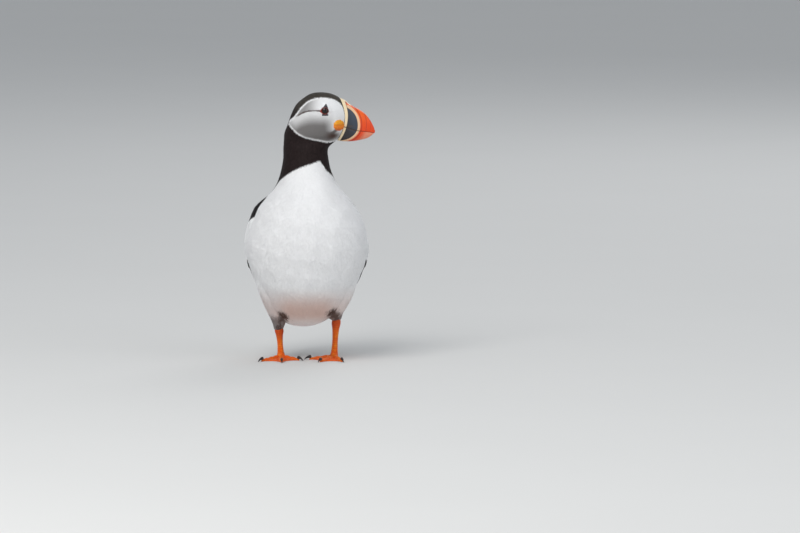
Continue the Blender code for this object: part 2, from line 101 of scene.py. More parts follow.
def smooth_curve(knots: Sequence[Pair], at: Array) -> Array:
    """A curve with level ends through knots.

    Args:
        knots: pairs of place and value, with the places rising or falling.
        at: the places to read.

    Returns:
        The values there, and the end values beyond the ends.
    """
    places, values = np.array(knots, float).T
    if places[0] > places[-1]:
        places, values = places[::-1], values[::-1]
    slopes = np.zeros(len(places))
    slopes[1:-1] = (values[2:] - values[:-2]) / (places[2:] - places[:-2])
    at = np.clip(np.asarray(at, float), places[0], places[-1])
    i = np.clip(np.searchsorted(places, at, side="right") - 1, 0, len(places) - 2)
    span = places[i + 1] - places[i]
    t = (at - places[i]) / span
    level = values[i] * (2 * t**3 - 3 * t**2 + 1) + values[i + 1] * (3 * t**2 - 2 * t**3)
    return level + span * (slopes[i] * (t**3 - 2 * t**2 + t) + slopes[i + 1] * (t**3 - t**2))


def catmull_rom(rows: Array, position: Array) -> Array:
    """A smooth curve through rows of numbers.

    Args:
        rows: the rows, with one spare row before the first and one after the last.
        position: where to read, counted in rows from the first that isn't spare.

    Returns:
        The numbers there, along a new last axis.
    """
    i = np.clip(position.astype(int), 0, len(rows) - 4)
    t = (position - i)[..., None]
    a, b, c, d = (rows[i + k] for k in range(4))
    return 0.5 * (2 * b + (c - a) * t + (2 * a - 5 * b + 4 * c - d) * t**2 + (3 * b - a - 3 * c + d) * t**3)


def distance_to_path(points: Array, path: Array, closed: bool = False) -> Array:
    """Distances from points to a path of straight pieces.

    Args:
        points: the points, in as many directions as the path has.
        path: the path's corners.
        closed: whether the path runs back to its start.

    Returns:
        The distances.
    """
    ends = np.roll(path, -1, 0)
    best = np.full(points.shape[:-1], 1e9)
    for a, b in list(zip(path, ends))[: len(path) if closed else -1]:
        run = b - a
        t = np.clip(((points - a) @ run) / (run @ run), 0, 1)
        best = np.minimum(best, np.linalg.norm(points - a - t[..., None] * run, axis=-1))
    return best


def inside_outline(points: Array, outline: Array) -> Array:
    """How far points lie inside an outline in a plane.

    Args:
        points: the points.
        outline: the outline's corners.

    Returns:
        Distances to the outline, negative for points outside it.
    """
    inside = np.zeros(points.shape[:-1], bool)
    for a, b in zip(outline, np.roll(outline, -1, 0)):
        crosses = (a[1] > points[..., 1]) != (b[1] > points[..., 1])
        rise = b[1] - a[1] if b[1] != a[1] else 1e-9
        at = (b[0] - a[0]) * (points[..., 1] - a[1]) / rise + a[0]
        inside ^= crosses & (points[..., 0] < at)
    distance = distance_to_path(points, outline, closed=True)
    return np.where(inside, distance, -distance)


# -------- the bird's measures, in mm
HEAD_MIDDLE = -3.0
EYE_CENTRE = np.array([16.2, 15, 217.6])
EYE_RADIUS = 4.3
GAPE_CENTRE = np.array([28.2, 13.2, 204.7])

BODY_SECTIONS = np.array(
    [
        # height, across, along, front, back, side, turn in degrees
        [28.5, -3, 6, 0, 0, 0, 0], [30, -3, 6, 13, 14, 10.5, 0],
        [34, -2.4, 6.5, 23.5, 29, 19.5, 0], [42, -1, 7, 33, 43, 28.5, 0],
        [53, 0, 6, 40.5, 50, 37, 0], [67, 0, 3.5, 46, 53, 44.2, 0],
        [83, 0.3, 1, 48.5, 51, 50.4, 0], [101, 0.8, -2, 49, 47.5, 52.8, 0],
        [120, 1.5, -4, 46.5, 42, 48, 0], [136, 1, -6, 40, 36, 40.2, 0],
        [150, 0.8, -7, 31, 29.5, 28.4, 8], [162, 0, -6.5, 23.5, 23.5, 22.6, 25],
        [174, -0.5, -5, 20.5, 20, 19.5, 50], [184, -0.5, -4, 19.8, 19.6, 18.5, 75],
        [191, 0, -3, 27, 19.5, 17.5, 90], [197, 1.5, -3, 33, 20.5, 20, 90],
        [205, 5, -3, 33, 21, 21, 90], [214, 7, -3, 31.5, 19.8, 20, 90],
        [222, 9, -3, 26, 17.5, 16.8, 90], [228, 11, -3, 17.5, 12.5, 11.5, 90],
        [231.3, 12, -3, 9, 7.5, 6, 90], [232.3, 12.3, -3, 0, 0, 0, 90],
    ]
)
# The swell that fills the hollow between belly and thigh, as height, out from the middle, along and radius.
FLANK = ((34, 23.5, 8.5, 0.5), (36.5, 23.2, 6, 5.2), (41, 22.6, 3.5, 8.4), (48, 23.6, 0, 11.8))
FLANK += ((57, 25, -4, 14.6), (68, 26.2, -7, 16), (80, 25, -8, 14), (88, 23, -7, 8))
# The line where the feathers end and the bill begins, as height and reach along the head.
BILL_BASE = ((190, 26.6), (191.5, 27.4), (197, 30.4), (203, 32.5), (209, 33.6), (215, 33.7))
BILL_BASE += ((221, 32.4), (225, 30.8), (228, 28.8))
# The rings round the corner of the bill where its grooves run, where 1 is the edge of the plate.
BILL_GROOVES = (1.125, 1.34, 1.53)
# The pale face, seen from the side of the head, as reach and height, and the same with its corners cut.
FACE_CORNERS = np.array(
    [(-16.4, 206.6), (-10.4, 211.8), (-5, 219.2), (0.2, 224.4), (5.8, 227.4), (12.9, 228.6), (21, 227.7)]
    + [(26.4, 225.7), (30.4, 222), (32.9, 216.8), (33.4, 211), (32.9, 206.5), (34.4, 204), (33.4, 196)]
    + [(28, 190.6), (19, 189.9), (12.3, 191.4), (4.7, 192.9), (-2, 194.8), (-7.4, 197.9), (-11.3, 201.2)]
    + [(-13.9, 204)]
)
FACE_OUTLINE = np.stack([0.8 * FACE_CORNERS + 0.2 * np.roll(FACE_CORNERS, k, 0) for k in (1, -1)], 1)
FACE_OUTLINE = FACE_OUTLINE.reshape(-1, 2)
EYE_CREASE = np.array([(12.8, 217.4), (8, 217.7), (3.5, 217.5), (-0.5, 216.6), (-3.9, 215.1), (-8.4, 212.3)])
# The bare field of the plates round the eye, as reach and height.
EYE_FIELD = np.array([(1.1, 6.4), (3.9, -0.9), (3, -4.2), (-2.8, -4.2), (-4.5, -0.8)]) + EYE_CENTRE[[0, 2]]
# Where white plumage ends on the bird's right and left: height and degrees from the breast's middle.
WHITE_RIGHT = ((176, -16), (173.8, -27), (171.5, -42), (169.5, -54), (166.3, -66), (161, -79))
WHITE_RIGHT += ((157.2, -88), (150, -95), (138, -100), (118, -108), (90, -122), (60, -140))
WHITE_RIGHT += ((44, -166), (34, -180))
WHITE_LEFT = ((176, -16), (173, -6), (170.5, 6), (165.5, 27), (160.8, 58), (155, 82))
WHITE_LEFT += ((148, 97), (138, 106), (118, 112), (90, 122), (60, 140), (44, 166), (34, 180))
# The depth of the coat over the skin, by height.
COAT_HEIGHTS, COAT_DEPTHS = (28, 140, 165, 184, 196, 232), (1.1, 1.1, 0.9, 0.68, 0.45, 0.42)


class Side(Enum):
    """A side of the bird, with the sign of X that it has on the body."""

    LEFT = 1
    RIGHT = -1

    @property
    def word(self) -> str:
        """The side as it stands in the names of nodes."""
        return self.name.lower()


@dataclass(frozen=True)
class Toe:
    """One toe, by its angle from straight ahead and its length to the claw."""

    name: str
    angle: float
    length: float


@dataclass(frozen=True)
class LegPlan:
    """Where one leg stands, the path of its stain, and its thigh as height, across, along and radius."""

    side: Side
    heel: Pair
    toe_in: float
    smudge: tuple[Triple, ...]
    thigh: tuple[tuple[float, float, float, float], ...]


TOES = (Toe("outer", -33, 31), Toe("middle", 0, 33.5), Toe("inner", 37, 25))
LEGS = (
    LegPlan(
        side=Side.LEFT,
        heel=(23.7, 15),
        toe_in=20,
        smudge=((22, -12, 43.5), (25, -3, 40), (26, 6, 35)),
        thigh=((72, 27.5, 3, 11), (66, 27.5, 4, 13.2), (58, 26.8, 6, 14.2), (50, 24.8, 8.5, 13))
        + ((44.5, 24, 10, 10.4), (40.5, 24.7, 11, 7.6), (37.2, 25.7, 12, 5.2), (35, 26, 12.4, 4.2)),
    ),
    LegPlan(
        side=Side.RIGHT,
        heel=(-22.4, 14),
        toe_in=2,
        smudge=((-19.6, -13, 41), (-21.6, -1, 35), (-24.4, 7, 26.4)),
        thigh=((72, -27.5, 2, 11), (66, -28, 3, 13.4), (58, -27.5, 5, 14.2))
        + ((50, -25.4, 7, 13.6), (43, -24, 8.5, 12), (36, -23.4, 9.8, 9))
        + ((29.8, -23.8, 11, 5.7), (26.4, -24.4, 11.4, 4.3)),
    ),
)


# -------- meshes and pieces
# from the bird's own millimetres to the frame's, by the left eye
SHIFT = np.mean(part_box("eye_left"), 0) / MM - (EYE_CENTRE + np.array([0, HEAD_MIDDLE, 0]))


def metres(points: Array) -> Array:
    """Points in metres in the frame."""
    return (np.asarray(points, float) + SHIFT) * MM


def points_of(mesh: Mesh) -> Array:
    """The mesh's points as rows."""
    flat = np.empty(len(mesh.vertices) * 3, np.float32)
    mesh.vertices.foreach_get("co", flat)
    return flat.reshape(-1, 3).astype(float)


def set_points(mesh: Mesh, points: Array) -> None:
    """Moves the mesh's points."""
    mesh.vertices.foreach_set("co", points.astype(np.float32).ravel())
    mesh.update()


def set_values(mesh: Mesh, values: Mapping[str, Array]) -> None:
    """Gives each point of the mesh a number for each name."""
    for name, numbers in values.items():
        layer = mesh.attributes.new(name, "FLOAT", "POINT")
        layer.data.foreach_set("value", np.ascontiguousarray(numbers, np.float32))


@dataclass
class Shell:
    """Points in mm with faces, and what the points carry."""

    points: Array
    quads: Array = field(default_factory=lambda: np.zeros((0, 4), int))
    tris: Array = field(default_factory=lambda: np.zeros((0, 3), int))
    normals: Array | None = None
    values: dict[str, Array] = field(default_factory=dict)
    uv: Array | None = None

    @classmethod
    def grid(cls, points: Array, wrap: bool = False, loop: bool = False) -> "Shell":
        """A sheet, a hose or a ring through a grid of points.

        Args:
            points: rows of points.
            wrap: whether each row closes on itself.
            loop: whether the last row joins the first.

        Returns:
            The shell.
        """
        rows, columns = points.shape[:2]
        i, j = crossed(np.arange(rows if loop else rows - 1), np.arange(columns if wrap else columns - 1))
        below, beside = (i + 1) % rows, (j + 1) % columns
        corners = ((i, j), (i, beside), (below, beside), (below, j))
        quads = np.stack([row * columns + column for row, column in corners], -1)
        return cls(points.reshape(-1, 3), quads.reshape(-1, 4))

    @classmethod
    def tube(cls, rings: Array, ends: Sequence[Array] | None = None) -> "Shell":
        """A tube through rings of points, with a fan of triangles over its ends.

        Args:
            rings: rows of points, one row to a ring.
            ends: the points that close the first ring and the last, or the first alone. None stands
                for the middles of both rings.

        Returns:
            The shell, with the ends as its last points.
        """
        rows, ring = rings.shape[:2]
        ends = (rings[0].mean(0), rings[-1].mean(0)) if ends is None else ends
        a = np.arange(ring)
        b, last = np.roll(a, -1), (rows - 1) * ring
        tip = np.full(ring, rows * ring)
        fans = [np.stack([b, a, tip], -1), np.stack([a + last, b + last, tip + 1], -1)]
        shell = cls.grid(rings, wrap=True)
        return cls(np.vstack([shell.points, *ends]), shell.quads, np.vstack(fans[: len(ends)]))

    @classmethod
    def slab(cls, outer: Array, inner: Array) -> "Shell":
        """The closed shell between two grids of one size, with the outer points first."""
        top = cls.grid(outer)
        count = len(top.points)
        index = np.arange(count).reshape(outer.shape[:2])
        rim = np.concatenate([index[0], index[1:, -1], index[-1, -2::-1], index[-2:0:-1, 0]])
        after = np.roll(rim, -1)
        sides = np.stack([rim, rim + count, after + count, after], -1)
        points = np.vstack([top.points, inner.reshape(-1, 3)])
        return cls(points, np.vstack([top.quads, top.quads[:, ::-1] + count, sides]))

    def outward(self) -> "Shell":
        """The same shell with its faces turned out, unless its normals are given."""
        points = self.points - self.points.mean(0)
        tris = np.vstack([self.quads[:, :3], self.quads[:, [0, 2, 3]], self.tris])
        a, b, c = (points[tris[:, k]] for k in range(3))
        if self.normals is None and np.sum(a * np.cross(b, c)) < 0:
            self.quads, self.tris = self.quads[:, ::-1], self.tris[:, ::-1]
        return self

    @staticmethod
    def joined(shells: Sequence["Shell"]) -> "Shell":
        """Several shells as one, with the values that all carry and their maps where they have them."""
        shells = [s.outward() for s in shells]
        starts = np.cumsum([0] + [len(s.points) for s in shells])
        names = set.intersection(*(set(s.values) for s in shells))
        return Shell(
            np.vstack([s.points for s in shells]),
            np.vstack([s.quads + n for s, n in zip(shells, starts)]),
            np.vstack([s.tris + n for s, n in zip(shells, starts)]),
            values={name: np.concatenate([s.values[name] for s in shells]) for name in names},
            uv=None if shells[0].uv is None else np.vstack([s.uv for s in shells]),
        )

    def mesh(self, name: str, in_frame: bool = False) -> Mesh:
        """The shell as a smooth mesh.

        Args:
            name: the mesh's name.
            in_frame: whether it is carried to the frame's metres.

        Returns:
            The mesh, with its values as attributes and its map named OFBake where it has one.
        """
        self.outward()
        points = metres(self.points) if in_frame else self.points
        corners = np.concatenate([self.quads.ravel(), self.tris.ravel()])
        sizes = np.repeat([4, 3], [len(self.quads), len(self.tris)])
        mesh = bpy.data.meshes.new(name)
        mesh.vertices.add(len(points))
        mesh.vertices.foreach_set("co", points.astype(np.float32).ravel())
        mesh.loops.add(len(corners))
        mesh.loops.foreach_set("vertex_index", corners.astype(np.int32))
        mesh.polygons.add(len(sizes))
        mesh.polygons.foreach_set("loop_start", (np.cumsum(sizes) - sizes).astype(np.int32))
        mesh.update(calc_edges=True)
        mesh.shade_smooth()
        set_values(mesh, self.values)
        if self.uv is not None:
            layer = mesh.uv_layers.new(name="OFBake")
            layer.data.foreach_set("uv", self.uv[corners].astype(np.float32).ravel())
        if self.normals is not None:
            mesh.normals_split_custom_set_from_vertices(self.normals.astype(np.float32))
        return mesh


def add_object(name: str, data: bpy.types.ID) -> Object:
    """A new object in the scene."""
    thing = bpy.data.objects.new(name, data)
    bpy.context.scene.collection.objects.link(thing)
    return thing


def baked(mesh: Mesh, modify: Callable[[Object], None]) -> Mesh:
    """A mesh with the modifiers applied that modify adds to an object."""
    helper = add_object("helper", mesh)
    modify(helper)
    graph = bpy.context.evaluated_depsgraph_get()
    done = bpy.data.meshes.new_from_object(helper.evaluated_get(graph))
    bpy.data.objects.remove(helper)
    return done


class Assembly:
    """A part of the model."""

    def add(self, name: str, form: Shell | Mesh, material: Material, slot: str, *nodes: str) -> None:
        """Adds a piece that rides on the bird's body.

        Args:
            name: the piece's name.
            form: its shell or its mesh, in mm.
            material: its finish.
            slot: the frame's word for its kind of material; not used.
            nodes: the frame's nodes that it stands for.
        """
        if isinstance(form, Shell):
            mesh = form.mesh(name, in_frame=True)
        else:
            mesh = form
            set_points(mesh, metres(points_of(mesh)))
        piece = add_object(name, mesh)
        mesh.materials.clear()
        mesh.materials.append(material)
        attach(piece, "root")
        if nodes:
            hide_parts(*nodes)
        log.info("%s: %d faces", name, len(mesh.polygons))


# -------- shaders
Input = Union["Signal", float, tuple]
Inputs = Mapping[int | str, Input]


class Signal:
    """A socket of a shader tree, with arithmetic on its values."""

    def __init__(self, graph: "ShaderGraph", socket: bpy.types.NodeSocket) -> None:
        """Wraps a socket that belongs to graph."""
        self.graph = graph
        self.socket = socket

    def math(self, operation: str, *others: Input) -> "Signal":
        """A Math node on this signal and the others."""
        return self.graph.add("ShaderNodeMath", {"operation": operation}, dict(enumerate((self, *others))))

    def __add__(self, other: Input) -> "Signal":
        """The sum."""
        return self.math("ADD", other)

    __radd__ = __add__

    def __mul__(self, other: Input) -> "Signal":
        """The product."""
        return self.math("MULTIPLY", other)

    __rmul__ = __mul__

    def __sub__(self, other: Input) -> "Signal":
        """The difference."""
        return self.math("SUBTRACT", other)

    def __rsub__(self, other: Input) -> "Signal":
        """The difference, taken from a number."""
        return self.graph.add("ShaderNodeMath", {"operation": "SUBTRACT"}, {0: other, 1: self})

    def __abs__(self) -> "Signal":
        """The size without its sign."""
        return self.math("ABSOLUTE")

    def larger(self, other: Input) -> "Signal":
        """The larger of two."""
        return self.math("MAXIMUM", other)

    def step(self, low: float, high: float) -> "Signal":
        """A smooth step from 0 at low to 1 at high, which may be the smaller of the two."""
        inputs = {"Value": self, "From Min": min(low, high), "From Max": max(low, high)}
        result = self.graph.add("ShaderNodeMapRange", {"interpolation_type": "SMOOTHSTEP"}, inputs)
        return 1 - result if low > high else result


def socket_of(sockets: bpy.types.bpy_prop_collection, key: int | str) -> bpy.types.NodeSocket:
    """A socket by its identifier, or else by its number or name."""
    return next((socket for socket in sockets if socket.identifier == key), None) or sockets[key]


class ShaderGraph:
    """One material's nodes, written as expressions."""

    def __init__(self, name: str) -> None:
        """A new material with a Principled BSDF."""
        self.material = bpy.data.materials.new(name)
        self.material.use_nodes = True
        self.tree = self.material.node_tree
        self.shader = self.tree.nodes["Principled BSDF"]

    def add(self, kind: str, settings: Mapping[str, object], inputs: Inputs, output: int | str = 0) -> Signal:
        """Adds a node.

        Args:
            kind: the node's type.
            settings: its own settings.
            inputs: values or links for its sockets.
            output: the socket that is wanted.

        Returns:
            The output as a signal.
        """
        node = self.tree.nodes.new(kind)
        for key, value in settings.items():
            setattr(node, key, value)
        self.feed(node, inputs)
        return Signal(self, socket_of(node.outputs, output))

    def feed(self, node: bpy.types.Node, inputs: Inputs) -> None:
        """Links signals to a node's sockets, or sets the sockets to numbers, colours or vectors."""
        for key, value in inputs.items():
            socket = socket_of(node.inputs, key)
            if isinstance(value, Signal):
                self.tree.links.new(value.socket, socket)
            else:
                socket.default_value = (*value, 1) if socket.type == "RGBA" else value

    def carried(self, *names: str) -> Sequence[Signal]:
        """The numbers of those names that the mesh's points carry."""
        return [self.add("ShaderNodeAttribute", {"attribute_name": name}, {}, "Fac") for name in names]

    def layered(self, colour: Input, *layers: tuple[Input, Input]) -> Signal:
        """Lays colours over each other.

        Args:
            colour: the lowest.
            layers: the share and the colour of each layer, from below.

        Returns:
            The mixed colour.
        """
        for share, layer in layers:
            inputs = {"Factor_Float": share, "A_Color": colour, "B_Color": layer}
            colour = self.add("ShaderNodeMix", {"data_type": "RGBA"}, inputs, "Result_Color")
        return colour

    def scaled(self, colour: Input, by: Input) -> Signal:
        """A colour made lighter or darker."""
        return self.add("ShaderNodeVectorMath", {"operation": "SCALE"}, {0: colour, "Scale": by})

    def place(self, stretch: Triple) -> Signal:
        """The point's place on the model in metres, stretched along each direction."""
        place = self.add("ShaderNodeTexCoord", {}, {}, "Object")
        return self.add("ShaderNodeVectorMath", {"operation": "MULTIPLY"}, {0: place, 1: stretch})

    def noise(self, scale: float, detail: float = 3.0, stretch: Triple = (1.0, 1.0, 1.0)) -> Signal:
        """Cloudy noise over the model, from 0 to 1, with scale as its repeats in a metre."""
        inputs = {"Vector": self.place(stretch), "Scale": scale, "Detail": detail}
        return self.add("ShaderNodeTexNoise", {}, inputs)

    def cells(self, scale: float, stretch: Triple = (1.0, 1.0, 1.0)) -> Signal:
        """The distance to the edges of scattered cells, with scale as their number in a metre."""
        inputs = {"Vector": self.place(stretch), "Scale": scale}
        return self.add("ShaderNodeTexVoronoi", {"feature": "DISTANCE_TO_EDGE"}, inputs, "Distance")

    def bump(self, height: Signal, depth: float) -> Signal:
        """A normal bent by a height from 0 to 1 over so many mm."""
        inputs = {"Height": height, "Distance": depth * MM, "Strength": 1}
        return self.add("ShaderNodeBump", {}, inputs, "Normal")


class Finish:
    """A kind of surface, with its colours as fields and what is the same all over it as FIXED."""

    FIXED: Inputs = {}

    def material(self, name: str) -> Material:
        """Makes a material with the finish.

        Args:
            name: its name.

        Returns:
            The material.
        """
        graph = ShaderGraph(name)
        graph.feed(graph.shader, {**self.FIXED, **self.paint(graph)})
        return graph.material

    def paint(self, graph: ShaderGraph) -> Inputs:
        """What feeds the shader's sockets, from nodes added to graph."""
        raise NotImplementedError


@dataclass(frozen=True)
class PlumageFinish(Finish):
    """Feathers, whose markings are carried by the points of skin and vanes alike."""

    white: Colour = (0.90, 0.90, 0.905)
    grey: Colour = (0.20, 0.19, 0.186)
    cap: Colour = (0.056, 0.049, 0.041)
    black: Colour = (0.021, 0.0135, 0.0135)
    stain: Colour = (0.64, 0.375, 0.285)
    # dark brown for the thighs' stains and for the painted shadow under the corner of the mouth
    soot: Colour = (0.070, 0.031, 0.021)

    FIXED = {"Specular IOR Level": 0.1, "Sheen Weight": 0.02, "Sheen Roughness": 0.5}

    def paint(self, graph: ShaderGraph) -> Inputs:
        """Feathers' colour, light and grain."""
        grey, warm, soot, dark, crown = graph.carried("grey", "warm", "soot", "dark", "crown")
        shade, along = graph.carried("shade", "along")
        # the last pale layer lays on the thighs' stains and the painted shadow under the mouth's corner
        pale = graph.layered(self.white, (grey, self.grey), (warm, self.stain), (soot, self.soot))
        tone = graph.layered(pale, (dark, graph.layered(self.black, (crown, self.cap))))
        light = (shade - 0.5) * (0.05 + dark * 0.5) + (graph.noise(95, 2) - 0.5) * 0.05
        light = light + (along - 0.7) * 0.06
        fine = graph.noise(1500, 2, (1, 1, 0.35))
        return {
            "Base Color": graph.scaled(tone, 1 + light),
            "Roughness": 0.82 - dark * 0.2,
            "Normal": graph.bump(fine, 0.05),
        }


@dataclass(frozen=True)
class QuillFinish(Finish):
    """Long wing and tail feathers with a shaft and fine barbs."""

    vane: Colour = (0.017, 0.0145, 0.0155)
    edge: Colour = (0.045, 0.036, 0.033)
    shaft: Colour = (0.030, 0.024, 0.022)

    FIXED = {"Specular IOR Level": 0.2}

    def paint(self, graph: ShaderGraph) -> Inputs:
        """Black vanes with worn edges and a paler shaft."""
        across, along, shade = graph.carried("across", "along", "shade")
        off_shaft = abs(across)
        worn = off_shaft.step(0.78, 1).larger(along.step(0.86, 1)) * 0.7
        colour = graph.layered(self.vane, (worn, self.edge), (off_shaft.step(0.10, 0.03), self.shaft))
        barbs = ((along * 9 + off_shaft * 1.2) * 60).math("SINE") * 0.5 + 0.5
        return {
            "Base Color": graph.scaled(colour, 1 + (shade - 0.5) * 0.5 + (barbs - 0.5) * 0.18),
            "Roughness": 0.62 + worn * 0.15,
            "Normal": graph.bump(barbs, 0.05),
        }


@dataclass(frozen=True)
class BillFinish(Finish):
    """Horn plates of the bill, by distance from the base and by rings round its corner."""

    slate: Colour = (0.044, 0.053, 0.075)
    # the darker slate is painted shade over the plate's lower back, which leaves a painted sheen of plain
    # slate on its upper front; it also colours the band in front of the cere
    slate_dark: Colour = (0.030, 0.026, 0.028)
    cream: Colour = (0.82, 0.67, 0.44)
    ridge: Colour = (0.80, 0.50, 0.30)
    red: Colour = (0.74, 0.060, 0.006)
    orange: Colour = (0.80, 0.108, 0.006)
    # a dark red painted as the shadow in the grooves
    groove: Colour = (0.36, 0.022, 0.006)
    pink: Colour = (0.82, 0.33, 0.20)
    # a dark brown painted as the shade in the mouth line and the nostril
    seam: Colour = (0.10, 0.062, 0.045)
    # how far from each groove's line its painted shadow fades out, how near it is full, and how dark it is
    groove_looks: tuple[Triple, ...] = ((0.032, 0.008, 1), (0.030, 0.008, 0.6), (0.026, 0.006, 0.35))

    FIXED = {"Specular IOR Level": 0.36, "Coat Roughness": 0.25}

    def paint(self, graph: ShaderGraph) -> Inputs:
        """Plate with painted sheen and shade, ridge, outer bill, grooves with painted shadow, cream band, and
        mouth line and nostril with painted shade.
        """
        ring, base, crest, lower, mouth = graph.carried("ring", "base", "crest", "lower", "mouth")
        plate_shade, outer_shade = graph.carried("plate_shade", "outer_shade")
        streaks = graph.noise(900, 3, (0.25, 1, 1))
        blot = graph.noise(260, 3) - 0.5
        ring = ring + blot * 0.018
        # painted shadow along the grooves of the outer bill
        grooves = 0
        for place, (outside, inside, strength) in zip(BILL_GROOVES, self.groove_looks):
            grooves = (abs(ring - place).step(outside, inside) * strength).larger(grooves)
        # painted light on the plate: darker towards its lower back, with a lighter painted sheen on its upper
        # front
        slate = graph.layered(self.slate, (plate_shade + blot * 0.3, self.slate_dark))
        outer = graph.layered(
            self.red,
            (outer_shade, self.orange),
            # the painted shadow in the grooves
            (grooves * 0.8, self.groove),
            (lower * ring.step(1.16, 1.45) * 0.75, self.pink),
        )
        cere = base.step(2.35, 1.95)
        rim = base.step(2.9, 2.4) * (1 - cere) * (1 - crest)
        colour = graph.layered(
            self.ridge,
            (ring.step(1.035, 1.065), outer),
            (ring.step(0.955, 0.925), slate),
            (crest, self.cream),
            (cere, self.cream),
            (rim * 0.65, self.slate_dark),
            # painted shade along the mouth line and in the nostril, weaker on the outer bill
            (mouth * (0.75 - ring.step(1, 1.1) * 0.35), self.seam),
        )
        pits = graph.cells(2600).step(0, 0.25)
        return {
            "Base Color": graph.scaled(colour, 0.92 + streaks * 0.16),
            "Roughness": 0.34 + streaks * 0.14 + cere * 0.15,
            "Coat Weight": 0.13 - cere * 0.10,
            "Normal": graph.bump(streaks * 0.5 + pits * cere * 0.5, 0.07),
        }


@dataclass(frozen=True)
class FleshFinish(Finish):
    """Bare soft skin of the corner of the mouth, from yellow above to red below."""

    upper: Colour = (0.89, 0.37, 0.012)
    middle: Colour = (0.86, 0.22, 0.008)
    lower: Colour = (0.58, 0.075, 0.010)

    FIXED = {"Specular IOR Level": 0.45}

    def paint(self, graph: ShaderGraph) -> Inputs:
        """Yellow, orange and red skin, with painted shade in its folds."""
        rise, fold = graph.carried("rise", "fold")
        blot = graph.noise(700, 3)
        rise = rise + (blot - 0.5) * 0.35
        layers = (rise.step(0.35, 0.8), self.upper), (rise.step(0.3, 0.02), self.lower)
        pores = graph.cells(3200).step(0, 0.3)
        return {
            # painted shade: darker where the folds sink deeper
            "Base Color": graph.scaled(graph.layered(self.middle, *layers), 1 - fold * 0.35),
            "Roughness": 0.42 + blot * 0.12,
            "Normal": graph.bump(pores, 0.05),
        }


@dataclass(frozen=True)
class PlateFinish(Finish):
    """Horny plates round the eye and its red rim, told apart by a carried number."""

    horn: Colour = (0.020, 0.018, 0.021)
    horn_light: Colour = (0.050, 0.048, 0.060)
    red: Colour = (0.30, 0.034, 0.022)

    FIXED = {"Specular IOR Level": 0.45}

    def paint(self, graph: ShaderGraph) -> Inputs:
        """Mottled horn, and red where the rim is."""
        blot = graph.noise(1400, 3)
        (red,) = graph.carried("red")
        colour = graph.layered(self.horn, (blot.step(0.45, 0.75), self.horn_light), (red, self.red))
        return {"Base Color": colour, "Roughness": 0.45 + blot * 0.15, "Normal": graph.bump(blot, 0.05)}


@dataclass(frozen=True)
class EyeFinish(Finish):
    """A dark wet eye: a black pupil in a brown iris."""

    pupil: Colour = (0.004, 0.003, 0.003)
    iris: Colour = (0.045, 0.014, 0.008)
    rim: Colour = (0.02, 0.008, 0.006)

    FIXED = {"Roughness": 0.05, "Specular IOR Level": 0.35}

    def paint(self, graph: ShaderGraph) -> Inputs:
        """Pupil, iris and dark rim, by distance from the middle."""
        (away,) = graph.carried("away")
        iris = graph.layered(self.rim, (graph.noise(2600, 4).step(0.35, 0.7), self.iris))
        layers = (away.step(1.55, 1.75), iris), (away.step(2.5, 2.9), self.rim)
        return {"Base Color": graph.layered(self.pupil, *layers)}


@dataclass(frozen=True)
class LegFinish(Finish):
    """Orange scaled skin of legs and webs."""

    orange: Colour = (0.90, 0.150, 0.002)
    light: Colour = (0.95, 0.32, 0.008)
    red: Colour = (0.62, 0.060, 0.005)
    web: Colour = (0.86, 0.115, 0.006)
    # a dark red painted as the shade in creases
    crease: Colour = (0.34, 0.045, 0.008)

    FIXED = {"Specular IOR Level": 0.3}

    def paint(self, graph: ShaderGraph) -> Inputs:
        """Scales, webs, joints, and painted shade in the creases between scutes and at the scales' edges."""
        web, joint, scute = graph.carried("web", "joint", "scute")
        blot = graph.noise(320, 4)
        scales = graph.cells(1150, (1, 1, 0.8))
        colour = graph.layered(
            self.orange,
            (blot.step(0.42, 0.72), self.light),
            (web * 0.85, self.web),
            (joint * 0.8, self.red),
            # painted shade in the dips between the shank's scutes and along the scales' edges
            (scute.larger(scales.step(0.16, 0.02) * 0.55) * 0.6, self.crease),
        )
        height = scales.step(0, 0.3) * 0.7 + blot * 0.3
        return {"Base Color": colour, "Roughness": 0.42 + blot * 0.2, "Normal": graph.bump(height, 0.16)}


@dataclass(frozen=True)
class ClawFinish(Finish):
    """Black horn, browner towards its root."""

    black: Colour = (0.010, 0.009, 0.010)
    brown: Colour = (0.060, 0.035, 0.022)

    FIXED = {"Specular IOR Level": 0.5}

    def paint(self, graph: ShaderGraph) -> Inputs:
        """Horn with a fine grain."""
        (along,) = graph.carried("along")
        grain = graph.noise(1500, 3, (1, 1, 0.4))
        colour = graph.layered(self.black, (along.step(0.3, 0) * 0.8, self.brown))
        return {"Base Color": colour, "Roughness": 0.28 + grain * 0.2, "Normal": graph.bump(grain, 0.04)}


@dataclass(frozen=True)
class FloorFinish(Finish):
    """A plain pale matt floor."""

    colour: Colour = (0.67, 0.67, 0.66)

    FIXED = {"Roughness": 0.9, "Specular IOR Level": 0.1}

    def paint(self, graph: ShaderGraph) -> Inputs:
        """Faint clouds in the floor's colour."""
        return {"Base Color": graph.scaled(self.colour, 0.99 + graph.noise(6, 2) * 0.02)}


